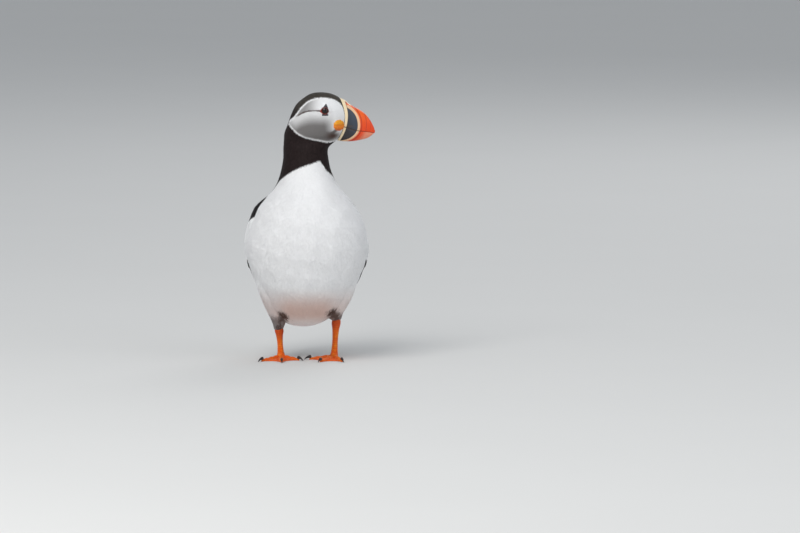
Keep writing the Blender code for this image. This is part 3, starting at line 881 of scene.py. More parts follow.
# -------- the forms that carry the plumage
class LoftForm:
    """A closed form through level sections, read by position counted in sections and by angle."""

    # the corner and the size of its patch of the map that feathers are drawn on
    patch = ((0.01, 0.01), (0.72, 0.97))

    def __init__(self, sections: Array, round_ends: bool) -> None:
        """Prepares the form.

        Args:
            sections: rows of height, across, along, front, back, side and turn in degrees.
            round_ends: whether the first and last sections are points that close the form smoothly.
        """
        mirror = np.array([1, 1, 1, -1, -1, -1, 1]) if round_ends else 1
        first, last = (1, -2) if round_ends else (0, -1)
        self.rows = np.vstack([sections[first] * mirror, sections, sections[last] * mirror])
        self.last = len(sections) - 1
        self.fine = np.linspace(0, self.last, 4001)
        self.heights = catmull_rom(self.rows, self.fine)[:, 0]

    @classmethod
    def limb(cls, sections: Sequence[tuple[float, ...]], depth: float = 1.0) -> "LoftForm":
        """A form through ovals of height, across, along and radius, so many times deeper than wide."""
        rows = [(h, x, y, depth * r, depth * r, r, 0) for h, x, y, r in sections]
        return cls(np.array(rows), round_ends=False)

    def position(self, height: Array) -> Array:
        """The position at a height."""
        return np.interp(height, self.heights, self.fine)

    def sizes(self, position: Array) -> Array:
        """The sections' seven numbers at a position, along the first axis."""
        return np.moveaxis(catmull_rom(self.rows, np.clip(position, 0, self.last)), -1, 0)

    def points(self, position: Array, angle: Array) -> Array:
        """Points of the form.

        Args:
            position: positions from the foot to the top.
            angle: angles from the middle of the breast or face.

        Returns:
            The points.
        """
        height, across, along, front, back, side, turn = self.sizes(position)
        reach = np.where(np.cos(angle) > 0, front, back) * np.cos(angle)
        sideways = side * np.sin(angle)
        turn = np.radians(turn)
        x = across + reach * np.sin(turn) + sideways * np.cos(turn)
        y = along - reach * np.cos(turn) + sideways * np.sin(turn)
        return np.stack([x, y, np.broadcast_to(height, x.shape)], -1)

    def frame(self, position: Array, angle: Array) -> tuple[Array, Array]:
        """Points and outward normals of the form.

        Args:
            position: positions on the form.
            angle: angles round it.

        Returns:
            The points and the normals.
        """
        nudge = 2e-3
        beside = self.points(position, angle + nudge) - self.points(position, angle - nudge)
        above = self.points(np.minimum(position + nudge, self.last), angle)
        below = self.points(np.maximum(position - nudge, 0), angle)
        return self.points(position, angle), unit(np.cross(beside, above - below))

    def inverse(self, points: Array) -> tuple[Array, Array, Array]:
        """Where points lie by the form's own measures.

        Args:
            points: points in mm.

        Returns:
            Their position, their angle and their share of the way out from the middle.
        """
        x, y, z = np.moveaxis(points, -1, 0)
        position = self.position(z)
        _, across, along, front, back, side, turn = self.sizes(position)
        x, y, turn = x - across, y - along, np.radians(turn)
        reach = x * np.sin(turn) - y * np.cos(turn)
        sideways = x * np.cos(turn) + y * np.sin(turn)
        reach = reach / np.maximum(np.where(reach > 0, front, back), 1e-6)
        sideways = sideways / np.maximum(side, 1e-6)
        beyond = (z < self.heights[0]) | (z > self.heights[-1])
        return position, np.arctan2(sideways, reach), np.hypot(reach, sideways) + 9 * beyond

    def on_map(self, position: Array, angle: Array) -> Array:
        """Places on the map, as rows of two numbers from 0 to 1."""
        own = np.stack([(angle + np.pi) / (2 * np.pi), position / self.last], -1)
        return np.array(self.patch[0]) + own * np.array(self.patch[1])

    def shell(self, cuff: bool) -> Shell:
        """The form's closed skin, drawn in under the feathers that end at its foot if it is a cuff."""
        position, angle = crossed(np.linspace(0, self.last, 60), turns(72, -np.pi))
        points, normals = self.frame(position, angle)
        if cuff:
            points = points - normals * (ease(0, 3, position) + 0.25)[..., None]
        return Shell.tube(points)


class BodyForm(LoftForm):
    """Trunk, neck and head in one, with the face drawn in to meet the base of the bill."""

    def __init__(self) -> None:
        """Takes the body's sections."""
        super().__init__(BODY_SECTIONS, round_ends=True)

    def points(self, position: Array, angle: Array) -> Array:
        """The form's points there, with the face narrowed towards the bill."""
        x, y, z = np.moveaxis(super().points(position, angle), -1, 0)
        _, across, _, front, _, side, _ = self.sizes(position)
        base = smooth_curve(BILL_BASE, z)
        reach = (base - across) / np.maximum(front, 1e-6)
        own = np.maximum(side * np.sqrt(np.clip(1 - reach**2, 0, 1)), 0.4)
        wanted = np.minimum(BillForm.half_width_at_base(np.minimum(z, 225.5)) + 0.45, own)
        squeeze = 1 + ease(-9, 0, x - base) * ease(186, 190.5, z) * (wanted / own - 1)
        behind = base + 0.05 - x
        stopped = base + 0.05 - 0.45 * np.logaddexp(0, np.clip(behind / 0.45, -60, 60))
        in_head = z > 187
        y = np.where(in_head, HEAD_MIDDLE + (y - HEAD_MIDDLE) * squeeze, y)
        return np.stack([np.where(in_head & (behind < 20), stopped, x), y, z], -1)


def thigh_form(plan: LegPlan) -> LoftForm:
    """The feathered thigh as a form, from its bare end upwards."""
    height, across, along, radius = plan.thigh[-1]
    cuff = (height - 1.6, across, along + 0.2, radius * 0.74)
    return LoftForm.limb((cuff, *reversed(plan.thigh)), depth=1.12)


def crease_height(x: Array) -> Array:
    """The height of the crease behind the eye, by reach along the head."""
    return np.interp(x, EYE_CREASE[::-1, 0], EYE_CREASE[::-1, 1])


def face_relief(points: Array) -> Array:
    """How far the face stands out from its smooth form.

    Args:
        points: where to read it, in mm.

    Returns:
        The reliefs in mm, negative where it is sunk.
    """
    x, y, z = np.moveaxis(points, -1, 0)
    plane = points[..., [0, 2]]
    on_side = ease(4, 9, np.abs(y - HEAD_MIDDLE)) * ease(184, 188, z)
    cut = -0.85 * bell(distance_to_path(plane, EYE_CREASE), 0.75) * ease(-9, 1, x)
    swell = 0.5 * bell(crease_height(x) - z - 3, 2.4) * ease(-9.5, -3, x) * ease(17, 12, x)
    ahead, above = x - EYE_CENTRE[0], z - EYE_CENTRE[2]
    lids = (0.20 * ahead + 0.36 * above + 0.27) * np.exp(-((np.hypot(ahead, above) / 5) ** 4))
    edge = inside_outline(plane, FACE_OUTLINE)
    rim = 0.32 * bell(edge - 0.9, 0.9) - 0.25 * bell(edge + 1, 0.9)
    rim = rim * ease(24, 16, x) * ease(218, 208, z)
    chops = 0.3 * bell(x - 9, 9) * bell(z - 202, 6)
    return on_side * (cut + swell + lids + rim + chops)


def breast_swells(points: Array) -> Array:
    """How far breast and belly swell out softly and unevenly at points, in mm."""
    x, _, z = np.moveaxis(points, -1, 0)
    broad = np.sin(0.21 * x + 0.17 * z + 1) * np.sin(0.13 * x - 0.23 * z)
    fine = np.sin(0.37 * x + 0.05 * z) * np.sin(0.29 * z + 0.11 * x + 2)
    return 0.34 * (broad + 0.6 * fine) * ease(45, 70, z) * ease(162, 140, z)


def thigh_stain(plan: LegPlan, points: Array, wander: Array) -> tuple[Array, Array]:
    """The dark stain on one thigh.

    Args:
        plan: the leg.
        points: where to read it, in mm.
        wander: how far each point's edges lie off their lines, in mm.

    Returns:
        The stain of the thigh's end, and the whole stain with its smudge up the belly.
    """
    x, y, z = np.moveaxis(points, -1, 0)
    _, across, along, _ = plan.thigh[-1]
    stretch = np.array([1, 1 / 1.5, 1])
    path = np.array(plan.smudge) * stretch
    reach = distance_to_path(points * stretch, path) + 5 * np.abs(wander)
    patch = np.linalg.norm(points * stretch - path[0], axis=-1) + 4.5 * wander
    smudge = np.maximum(0.97 * ease(7.2, 2.8, patch), 0.90 * ease(6.8, 2.6, reach))
    end = ease(22, 13, np.hypot(x - across, y - along))
    end = end * ease(path[0][2] + 1, path[0][2] - 6, z + 4 * wander)
    own = x * plan.side.value > 5
    return end * own, np.maximum(smudge, 0.68 * end) * own


def markings(body: LoftForm, points: Array, wander: Array) -> dict[str, Array]:
    """The plumage's markings, with a painted shadow under the corner of the mouth.

    Args:
        body: the form that gives the angle round the trunk.
        points: where to read them, in mm.
        wander: how far each point's edges lie off their lines, in mm.

    Returns:
        Numbers from 0 to 1 named dark, crown, grey, warm and soot; grey and soot also carry the painted
        shadow.
    """
    x, y, z = np.moveaxis(points, -1, 0)
    plane = points[..., [0, 2]]
    degrees = np.degrees(body.inverse(points)[1])
    right, left = smooth_curve(WHITE_RIGHT, z + wander), smooth_curve(WHITE_LEFT, z + wander)
    front = ease(-1.5, 1.5, np.minimum(degrees - right, left - degrees)) * ease(175.2, 174.2, z + wander)
    edge = inside_outline(plane, FACE_OUTLINE)
    side_of_head = ease(3, 4.5, np.abs(y - HEAD_MIDDLE) + ease(205, 195, z) * 2)
    face = ease(-0.35, 0.35, edge + wander) * ease(186, 188.5, z) * side_of_head
    eye_level, within = crease_height(x), ease(0.5, 1.9, edge)
    cheek = 0.16 + 0.80 * ease(eye_level - 1, eye_level - 14, z) * ease(27, 15, x)
    cheek = within * cheek * ease(eye_level + 0.5, eye_level - 0.5, z) * ease(30, 22, x)
    brow = within * 0.74 * ease(15, -1, x) * ease(eye_level - 0.5, eye_level + 0.5, z)
    # painted shadow under the corner of the mouth: a dark patch with a streak running down and back from it,
    # laid into the grey and the dark brown
    chin = bell(x - 23.2, 5.2) * bell(z - 195.8, 3.2)
    shadow_streak = distance_to_path(plane, np.array([(26.4, 201), (22, 197.6), (17.5, 194.8)]))
    smudge = np.maximum(chin, ease(2.2, 0.4, shadow_streak)) * ease(0.3, 1.4, edge)
    line = ease(0.85, 0.30, distance_to_path(plane, EYE_CREASE)) * ease(186, 190, z) * ease(-8.5, -4, x)
    grey = face * np.clip(0.06 + cheek + brow + 0.85 * smudge + 0.8 * line, 0, 1)
    soot = face * np.clip(0.85 * chin * ease(0.4, 1.4, edge) + 0.65 * line, 0, 0.9)
    warm = ease(70, 47, z) * ease(30, 44, z) * ease(42, 5, y)
    warm = warm * (0.32 + 0.38 * ease(32, 12, np.abs(x))) * (1 - face)
    # the thighs' own stains, in the same dark brown as the painted shadow
    for plan in LEGS:
        end, stain = thigh_stain(plan, points, wander)
        grey, soot = np.maximum(grey, 0.3 * end), np.maximum(soot, stain)
    crown = ease(207, 214, z) * ease(-14, -4, x)
    return {"dark": 1 - np.maximum(front, face), "crown": crown, "grey": grey, "warm": warm, "soot": soot}


# -------- the bill
class BillForm:
    """The bill's side surface by place from base to tip and share of its depth."""

    CULMEN = np.array([(29, 227.4), (33.4, 225.3), (37.6, 221.9), (50, 214.3), (55.4, 206.8), (58.6, 197.4)])
    LOWER_EDGE = np.array([(26.7, 190.6), (33, 189.8), (41, 190.1), (50.9, 192.1), (55.3, 194.2), (58, 197)])
    STATIONS = np.array([0, 0.25, 0.5, 0.75, 0.88, 1])
    HALF_WIDTH = 8.6
    BOW = 5.5

    @classmethod
    def edge(cls, knots: Array, s: Array) -> Array:
        """Reach and height of the culmen or the lower edge, through its knots, from base 0 to tip 1."""
        i = np.clip(np.searchsorted(cls.STATIONS, s, side="right") - 1, 0, len(cls.STATIONS) - 2)
        share = (s - cls.STATIONS[i]) / (cls.STATIONS[i + 1] - cls.STATIONS[i])
        return catmull_rom(np.vstack([knots[:1], knots, knots[-1:]]), i + np.minimum(share, 0.99999))

    @staticmethod
    def fullness(v: Array) -> Array:
        """The share of the full width at share v of the depth."""
        return np.maximum(1 - np.abs(2 * v - 1) ** 2.4, 0) ** 0.55

    @classmethod
    def half_width_at_base(cls, height: Array) -> Array:
        """Half the bill's width where it meets the face at a height."""
        low, high = cls.LOWER_EDGE[0, 1], cls.CULMEN[0, 1]
        return cls.HALF_WIDTH * cls.fullness(np.clip((height - low) / (high - low), 0, 1))

    @classmethod
    def points(cls, s: Array, v: Array, side: Array) -> Array:
        """Points of the bill.

        Args:
            s: places from base to tip.
            v: shares of the depth from below.
            side: 1 on the left, -1 on the right, or 0 in the middle.

        Returns:
            The points.
        """
        low, high = cls.edge(cls.LOWER_EDGE, s), cls.edge(cls.CULMEN, s)
        x, z = np.moveaxis(low + (high - low) * v[..., None], -1, 0)
        x = x + cls.BOW * np.sqrt(np.maximum(0, 1 - s * s)) * 4 * v * (1 - v)
        half = cls.HALF_WIDTH * (1 - 0.86 * s**1.8) * cls.fullness(v)
        return np.stack([x, HEAD_MIDDLE + side * half, z], -1)


@dataclass
class Bill(Assembly):
    """The bill's two halves, with their plates, ridge and grooves modelled."""

    rows: int = 150
    columns: int = 44
    gap: float = 0.14
    ridge_height: float = 0.30
    groove_depths: Triple = (0.24, 0.228, 0.12)
    cere_height: float = 0.30
    plate_corner: Pair = (27.0, 204.0)
    nostril: Pair = (38.2, 203.4)

    def ring(self, points: Array) -> Array:
        """The ring round the corner of the bill that points are on; 1 is the ridge that ends the plate."""
        x, z = points[..., 0] - self.plate_corner[0], points[..., 2] - self.plate_corner[1]
        depth = np.where(z > 0, 18.3, 14.3)
        return (np.abs(x / 18.6) ** 2.1 + np.abs(z / depth) ** 2.1) ** (1 / 2.1)

    def slit(self, points: Array, length: float, height: float) -> Array:
        """How much points belong to the nostril, a slit of that length and height."""
        return bell(points[..., 0] - self.nostril[0], length) * bell(points[..., 2] - self.nostril[1], height)

    def relief(self, points: Array) -> Array:
        """How far the horn stands out from the smooth bill.

        Args:
            points: where to read it.

        Returns:
            The reliefs in mm, negative where it is sunk.
        """
        ring = self.ring(points)
        base = points[..., 0] - smooth_curve(BILL_BASE, points[..., 2])
        ridge = self.ridge_height * bell(ring - 0.995, 0.036)
        grooves = sum(d * bell(ring - place, 0.020) for place, d in zip(BILL_GROOVES, self.groove_depths))
        cere = self.cere_height * ease(2.5, 1.9, base)
        sunk = 0.16 * ease(0.96, 0.90, ring) * ease(2.2, 3.2, base)
        return ridge - grooves + cere - sunk - 0.45 * self.slit(points, 2.6, 0.45)

    def half(self, upper: bool) -> Shell:
        """One half of the bill.

        Args:
            upper: True for the upper half.

        Returns:
            A closed shell that carries what its finish reads.
        """
        s = np.linspace(0, 1, self.rows) ** 0.92 * 0.988
        top, under = (BillForm.edge(knots, s) for knots in (BillForm.CULMEN, BillForm.LOWER_EDGE))
        depth = np.linalg.norm(top - under, axis=-1)
        mouth = (0.34 - 0.10 * s + (0.5 if upper else -0.5) * self.gap / depth)[:, None]
        v = mouth + (float(upper) - mouth) * np.sin(0.5 * np.pi * np.arange(self.columns + 1) / self.columns)
        v = np.hstack([v, v[:, -2::-1]])
        spread, side = crossed(s, np.sign(self.columns - np.arange(v.shape[1])))
        points = BillForm.points(spread, v, side)
        off_middle = points[..., 1] - HEAD_MIDDLE
        strength, off_mouth = ease(0, 1.2, np.abs(off_middle)), np.abs(v - mouth)
        rise = self.relief(points) * strength - bell(off_mouth, 0.012) * 0.35 * ease(0, 1.2, strength)
        raised = points.copy()
        raised[..., 1] += np.sign(off_middle) * rise
        shell = Shell.grid(raised, wrap=True)
        peak, last = self.columns, (self.rows - 1) * v.shape[1]
        left = np.arange(peak - 1)
        right = v.shape[1] - 1 - left
        lace = np.stack([left, left + 1, right - 1, right], -1)
        x, z = points[..., 0], points[..., 2]
        from_top = np.linalg.norm(raised - points[:, [peak]], axis=-1)
        values = {
            "ring": self.ring(points),
            "base": raised[..., 0] - smooth_curve(BILL_BASE, raised[..., 2]),
            "crest": ease(3.6, 2.4, from_top) * ease(39.6, 37.2, x) * float(upper),
            "lower": np.full(v.shape, float(not upper)),
            # where shade is painted: along the mouth line, and in the nostril of the upper half
            "mouth": np.maximum(bell(off_mouth, 0.010), self.slit(points, 2.8, 0.5) * float(upper)),
            # painted shade over the plate's lower back, so that its upper front stays lighter as a painted
            # sheen
            "plate_shade": ease(44, 30, x + (z - 204) * 0.5),
            "outer_shade": ease(200, 217, z - (x - 50) * 0.5),
        }
        return Shell(
            shell.points,
            np.vstack([shell.quads, lace, lace[:, ::-1] + last]),
            np.array([(peak - 1, peak, peak + 1), (last + peak + 1, last + peak, last + peak - 1)]),
            values={key: value.ravel() for key, value in values.items()},
        )

    def build(self) -> None:
        """Builds both halves."""
        material = BillFinish().material("bill_horn")
        for upper, node in ((True, "bill_upper"), (False, "bill_lower")):
            self.add(f"{node}_horn", self.half(upper), material, "bill_horn", node)


# -------- skin
class Surface:
    """A closed or open mesh that feathers are laid on."""

    def __init__(self, mesh: Mesh) -> None:
        """Prepares the surface of a mesh in mm."""
        points = points_of(mesh)
        polygons = [tuple(p.vertices) for p in mesh.polygons]
        self.tree = BVHTree.FromPolygons([Vector(p) for p in points], polygons)
        normals = np.empty(len(points) * 3, np.float32)
        mesh.vertices.foreach_get("normal", normals)
        corners = np.array([(p + p)[:4] for p in polygons])
        self.corner_points, self.corner_normals = points[corners], normals.reshape(-1, 3)[corners]

    def drop(self, points: Array) -> tuple[Array, Array]:
        """The surface's nearest places to rows of points, and its smooth normals there."""
        found = [self.tree.find_nearest(Vector(p)) for p in points]
        places, index = np.array([f[0] for f in found]), np.array([f[2] for f in found])
        weight = 1 / (np.sum((self.corner_points[index] - places[:, None]) ** 2, -1) + 0.02)
        return places, unit(np.sum(self.corner_normals[index] * weight[..., None], 1))


@dataclass
class Skin(Assembly):
    """One skin from the legs' feathering to the bill, drawn in by the depth of the coat."""

    body: BodyForm
    rings_per_section: int = 12
    columns: int = 200
    smoothings: int = 14
    surface: Surface = field(init=False)

    def body_shell(self) -> Shell:
        """The skin of trunk, neck and head."""
        position = np.linspace(0, self.body.last, self.body.last * self.rings_per_section + 1)[1:-1]
        points, normals = self.body.frame(*crossed(position, turns(self.columns, -np.pi)))
        depth = np.interp(points[..., 2], COAT_HEIGHTS, COAT_DEPTHS)
        points = points + normals * (face_relief(points) + breast_swells(points) - depth)[..., None]
        return Shell.tube(points, (points[0].mean(0) - 0.1 * UP, points[-1].mean(0) + 0.05 * UP))

    def build(self) -> None:
        """Welds the skin, keeps it for the coat, and dresses it."""
        limbs = [thigh_form(plan).shell(cuff=True) for plan in LEGS]
        for side in Side:
            limbs.append(LoftForm.limb([(h, x * side.value, y, r) for h, x, y, r in FLANK]).shell(cuff=False))
        helpers = [add_object("limb", limb.mesh("limb")) for limb in limbs]

        def weld(target: Object) -> None:
            """Adds the limbs to the body."""
            for helper in helpers:
                union = target.modifiers.new("weld", "BOOLEAN")
                union.operation, union.solver, union.object = "UNION", "EXACT", helper

        mesh = baked(self.body_shell().mesh("skin"), weld)
        for helper in helpers:
            bpy.data.objects.remove(helper)
        self.soften_seams(mesh)
        self.surface = Surface(mesh)
        points = points_of(mesh)
        still = np.zeros(len(points))
        set_values(mesh, {**markings(self.body, points, still), "shade": still + 0.35, "along": still + 0.2})
        nodes = ("trunk", "neck", "head", "thigh_left", "thigh_right")
        self.add("skin", mesh, PlumageFinish().material("skin_plumage"), "white_plumage", *nodes)

    def soften_seams(self, mesh: Mesh) -> None:
        """Rounds the welded skin's crease where each thigh leaves the belly."""
        points = points_of(mesh)
        near = np.zeros(len(points), bool)
        out_of_body = self.body.inverse(points)[2]
        for plan in LEGS:
            near |= (thigh_form(plan).inverse(points)[2] < 1.25) & (out_of_body < 1.2) & (points[:, 2] < 72)
        edges = np.empty(len(mesh.edges) * 2, np.int32)
        mesh.edges.foreach_get("vertices", edges)
        a, b = edges.reshape(-1, 2).T
        count = np.bincount(edges, minlength=len(points))[:, None]
        for _ in range(self.smoothings):
            total = np.zeros_like(points)
            np.add.at(total, a, points[b])
            np.add.at(total, b, points[a])
            points = np.where(near[:, None], 0.5 * points + 0.5 * total / np.maximum(count, 1), points)
        set_points(mesh, points)


# -------- vanes
@dataclass(frozen=True)
class VanePattern:
    """A vane's points as share along, share across and fringe, with its faces."""

    along: Array
    across: Array
    fringe: Array
    tris: Array
    stations: Array

    @classmethod
    def frayed(cls, fingers: int, split: float, bow: float) -> "VanePattern":
        """A leaf whose end is split into fingers.

        Args:
            fingers: how many there are.
            split: the share of its length where they begin.
            bow: how far its tip is bowed, as a share of its length.

        Returns:
            The pattern.
        """
        ends = np.linspace(-1, 1, fingers + 1)
        middle = (ends[:-1] + ends[1:]) / 2
        shaft = np.repeat([0, split / 2], (2, 3))
        along = np.concatenate([shaft, split - bow * ends**2 / 2, 1 - bow * middle**2])
        across = np.concatenate([(-0.35, 0.35, -0.9, 0, 0.9), ends * (1 - 0.12 * ends**2), middle * 0.82])
        last, tips = 5, fingers + 6
        fringe = np.where(np.arange(tips + fingers) < tips, 0, 1)
        tris = [(0, 1, 3), (0, 3, 2), (1, 4, 3)]
        owner = 2 + np.argmin(np.abs(middle[:, None] - np.array([-0.9, 0, 0.9])), axis=1)
        for k in range(fingers):
            tris += [(last + k, owner[k], last + k + 1), (last + k, last + k + 1, tips + k)]
            if k and owner[k] != owner[k - 1]:
                tris.append((owner[k - 1], owner[k], last + k))
        return cls(along, across, fringe, np.array(tris), np.array([0, split / 2, split, 1]))


SMALL_VANE = VanePattern.frayed(4, 0.62, 0.2)
BROAD_VANE = VanePattern.frayed(6, 0.60, 0.2)
COVER_VANE = VanePattern.frayed(6, 0.76, 0.46)
VANE_PATCH = 0.0015  # half a vane's size on the map
Marks = Callable[[Array, Array], dict[str, Array]]
Random = np.random.Generator


@dataclass
class Vanes:
    """Many vanes, each with its root, heading and size, ready to be laid on a surface."""

    roots: Array
    normals: Array
    heading: Array
    length: Array
    width: Array
    lift: Array
    uv: Array

    def chosen(self, keep: Array) -> "Vanes":
        """Those vanes for which keep holds."""
        return Vanes(**{key: value[keep] for key, value in vars(self).items()})

    def lay(self, surface: Surface, pattern: VanePattern, rng: Random, marks: Marks | None) -> Shell:
        """Lays the vanes on a surface.

        Args:
            surface: what they follow.
            pattern: the shape of each.
            rng: the source of their differences.
            marks: gives the markings at points whose edges wander by so many mm.

        Returns:
            One shell of all the vanes, with shading that follows the surface.
        """
        stations = pattern.stations
        count, size = len(self.roots), len(pattern.along)
        places, normals = [self.roots], [self.normals]
        headings = [tangent(self.heading, self.normals)]
        for before, after in zip(stations, stations[1:]):
            ahead = places[-1] + headings[-1] * (self.length * (after - before))[:, None]
            place, normal = surface.drop(ahead)
            places.append(place)
            normals.append(normal)
            headings.append(tangent(headings[-1], normal))
        along = pattern.along * (1 - pattern.fringe * rng.uniform(0, 0.14, (count, size)))
        spot = np.interp(along, stations, np.arange(len(stations)))
        low = np.clip(spot.astype(int), 0, len(stations) - 2)
        part = (spot - low)[..., None]
        who = np.arange(count)[:, None]
        rows = map(np.array, (places, normals, headings))
        place, normal, heading = (row[low, who] * (1 - part) + row[low + 1, who] * part for row in rows)
        normal = unit(normal)
        heading = tangent(heading, normal)
        beside = np.cross(heading, normal)
        across = pattern.across * (1 + pattern.fringe * rng.normal(0, 0.08, along.shape))
        rise = self.lift[:, None] * (0.06 + 0.94 * along) * (1 - 0.15 * across**2) - 0.1
        points = place + beside * (across * self.width[:, None] / 2)[..., None] + normal * rise[..., None]
        bend = beside * (across * 0.20)[..., None] + heading * (0.10 * (along - 0.6))[..., None]
        shading = unit(normal + bend + rng.normal(0, 0.03, (count, 1, 3)))
        tris = (pattern.tris[None] + np.arange(count)[:, None, None] * size).reshape(-1, 3)
        values = {}
        if marks:
            read = place - heading * (along * self.length[:, None] * 0.2)[..., None]
            values = marks(read.reshape(-1, 3), np.repeat(rng.normal(0, 0.22, count), size))
        values["shade"] = np.repeat(rng.uniform(0, 1, count), size)
        values["along"], values["across"] = along.ravel(), across.ravel()
        patch = np.stack([np.broadcast_to(pattern.across, along.shape), along], -1) * VANE_PATCH
        uv = (self.uv[:, None, :] + patch).reshape(-1, 2)
        return Shell(points.reshape(-1, 3), tris=tris, normals=shading.reshape(-1, 3), values=values, uv=uv)


@dataclass
class Coat(Assembly):
    """The small feathers of head, neck, trunk and thighs."""

    body: BodyForm
    surface: Surface
    seed: int = 11
    # height, spacing, length, width and lift
    stations: tuple[tuple[float, ...], ...] = (
        (28, 1.35, 8, 2.9, 1.10), (60, 1.35, 9, 3, 1.10), (100, 1.35, 8.6, 3, 1.10),
        (140, 1.22, 7.2, 2.6, 1.05), (165, 1.02, 5.6, 2, 0.90), (185, 0.88, 4.2, 1.6, 0.68),
        (197, 0.74, 3.1, 1.25, 0.45), (215, 0.72, 2.9, 1.20, 0.42), (233, 0.76, 3.1, 1.30, 0.45),
    )
    # by how much the same shrink beside the bill and round the eye
    shrink: tuple[float, ...] = (0.15, 0.40, 0.25, 0.25)

    def __post_init__(self) -> None:
        """Starts the random numbers."""
        self.rng = np.random.default_rng(self.seed)

    def sizes(self, points: Array) -> Array:
        """The sizes of the vanes rooted at points.

        Args:
            points: their roots.

        Returns:
            Spacing, length, width and lift along a new last axis.
        """
        x, _, z = np.moveaxis(points, -1, 0)
        heights, *columns = zip(*self.stations)
        rows = np.stack([np.interp(z, heights, column) for column in columns], -1)
        by_bill = ease(7, 0, smooth_curve(BILL_BASE, z) - x) * (z > 190)
        from_eye = np.hypot(x - EYE_CENTRE[0], z - EYE_CENTRE[2])
        small = np.maximum(by_bill, ease(7, 3.5, from_eye) * (z > 200))
        return rows * (1 - small[..., None] * np.array(self.shrink))

    def heading(self, points: Array) -> Array:
        """The lie of the coat, before it is laid on the skin.

        Args:
            points: where to read it.

        Returns:
            Directions of length one.
        """
        x, _, z = np.moveaxis(points[..., None, :], -1, 0)
        nape, head, neck = ease(6, -13, x), ease(185, 196, z), ease(150, 172, z)
        chin = ease(199, 190, z) * ease(0, 12, x)
        on_head = np.array([-1, 0, -0.12]) * (1 - nape) + np.array([-0.28, 0, -1]) * nape
        on_head = on_head * (1 - chin) + np.array([-0.8, 0, -0.6]) * chin
        on_trunk = np.array([0, 0.34, -0.94]) + x * np.array([0.004, 0, 0])
        low = on_trunk * (1 - neck) + np.array([0, 0.05, -1]) * neck
        return unit(low * (1 - head) + on_head * head)

    def roots(self, form: LoftForm) -> tuple[Array, Array]:
        """Positions and angles of roots scattered evenly over a form, in level rows."""
        position = np.linspace(0.02, form.last - 0.02, 900)
        angle = np.linspace(-np.pi, np.pi, 361)
        points = form.points(*crossed(position, angle))
        spacing = self.sizes(points)[..., 0]
        rise = np.linalg.norm(np.diff(points, axis=0), axis=-1)
        rows = np.concatenate([[0], np.cumsum(np.mean(rise / spacing[1:], 1) / 0.86)])
        levels = np.interp(np.arange(0.3, rows[-1], 1), rows, np.arange(len(position)))
        positions, angles = [], []
        for n, level in enumerate(levels):
            i = min(int(round(level)), len(position) - 1)
            run = np.linalg.norm(np.diff(points[i], axis=0), axis=-1) / spacing[i, 1:]
            total = np.concatenate([[0], np.cumsum(run)])
            count = max(3, int(round(total[-1])))
            where = (np.arange(count) + 0.5 * (n % 2) + self.rng.uniform(-0.28, 0.28, count) + 0.25) / count
            angles.append(np.interp((where % 1) * total[-1], total, angle))
            gap = levels[min(n + 1, len(levels) - 1)] - levels[max(n - 1, 0)]
            spots = level + self.rng.uniform(-0.2, 0.2, count) * gap
            positions.append(np.interp(spots, np.arange(len(position)), position))
        return np.concatenate(positions), np.concatenate(angles)

    def vanes(self, form: LoftForm) -> Vanes:
        """Vanes all over a form, with their roots on the skin and their places on the map."""
        position, angle = self.roots(form)
        points = form.points(position, angle)
        _, length, width, lift = self.sizes(points).T
        roots, normals = self.surface.drop(points)
        count = len(roots)
        sway = self.rng.normal(0, 0.13, count)[:, None]
        heading = tangent(self.heading(roots), normals)
        heading = unit(heading + np.cross(normals, heading) * sway)
        vary = self.rng.uniform(0.9, 1.1, (count, 2))
        height, from_breast = roots[:, 2], np.degrees(np.abs(angle))
        on_back = ease(110, 135, from_breast) * ease(165, 140, height) * ease(40, 60, height)
        return Vanes(
            roots,
            normals,
            heading,
            length * vary[:, 0] * (1 + 0.25 * on_back),
            width * vary[:, 1] * (1 + 0.35 * on_back),
            lift * self.rng.uniform(0.95, 1.05, count),
            form.on_map(position, angle),
        )

    def clear_of_face(self, roots: Array) -> Array:
        """Which roots lie away from the eyes, the corners of the mouth and the bill."""
        x, _, z = roots.T
        from_eye = np.hypot(x - EYE_CENTRE[0], z - EYE_CENTRE[2])
        from_gape = np.hypot(x - GAPE_CENTRE[0], z - GAPE_CENTRE[2])
        by_eye = inside_outline(np.stack([x - 0.7, z], -1), EYE_FIELD) > -0.55
        in_bill = x > smooth_curve(BILL_BASE, z) - 0.35
        return (z <= 186) | ~((from_eye < 3.3) | by_eye | (from_gape < 4.4) | in_bill)

    def marks(self, points: Array, wander: Array) -> dict[str, Array]:
        """The plumage's markings, with the painted shadow under the corner of the mouth."""
        return markings(self.body, points, wander)

    def trunk(self) -> Vanes:
        """The vanes of trunk, neck and head, without those under wings and thighs or on bare skin."""
        trunk = self.vanes(self.body)
        trunk = trunk.chosen(self.clear_of_face(trunk.roots))
        for plan in LEGS:
            trunk = trunk.chosen(thigh_form(plan).inverse(trunk.roots)[2] > 0.93)
        for side in Side:
            trunk = trunk.chosen(~WingForm(self.body, side).covers(trunk.roots))
        return trunk

    def thigh(self, plan: LegPlan) -> Vanes:
        """The vanes of one leg's thigh, which grow shorter towards its end."""
        form = thigh_form(plan)
        form.patch = ((0.76, 0.02 if plan.side is Side.LEFT else 0.52), (0.22, 0.44))
        vanes = self.vanes(form)
        vanes = vanes.chosen(self.body.inverse(vanes.roots)[2] > 0.95)
        end = plan.thigh[-1][0]
        taper = ease(end - 1, end + 12, vanes.roots[:, 2])
        vanes.length *= (0.45 + 0.55 * taper) * self.rng.uniform(0.8, 1.2, len(taper))
        vanes.width *= 0.5 + 0.5 * taper
        vanes.lift *= 0.45 + 0.55 * taper
        return vanes

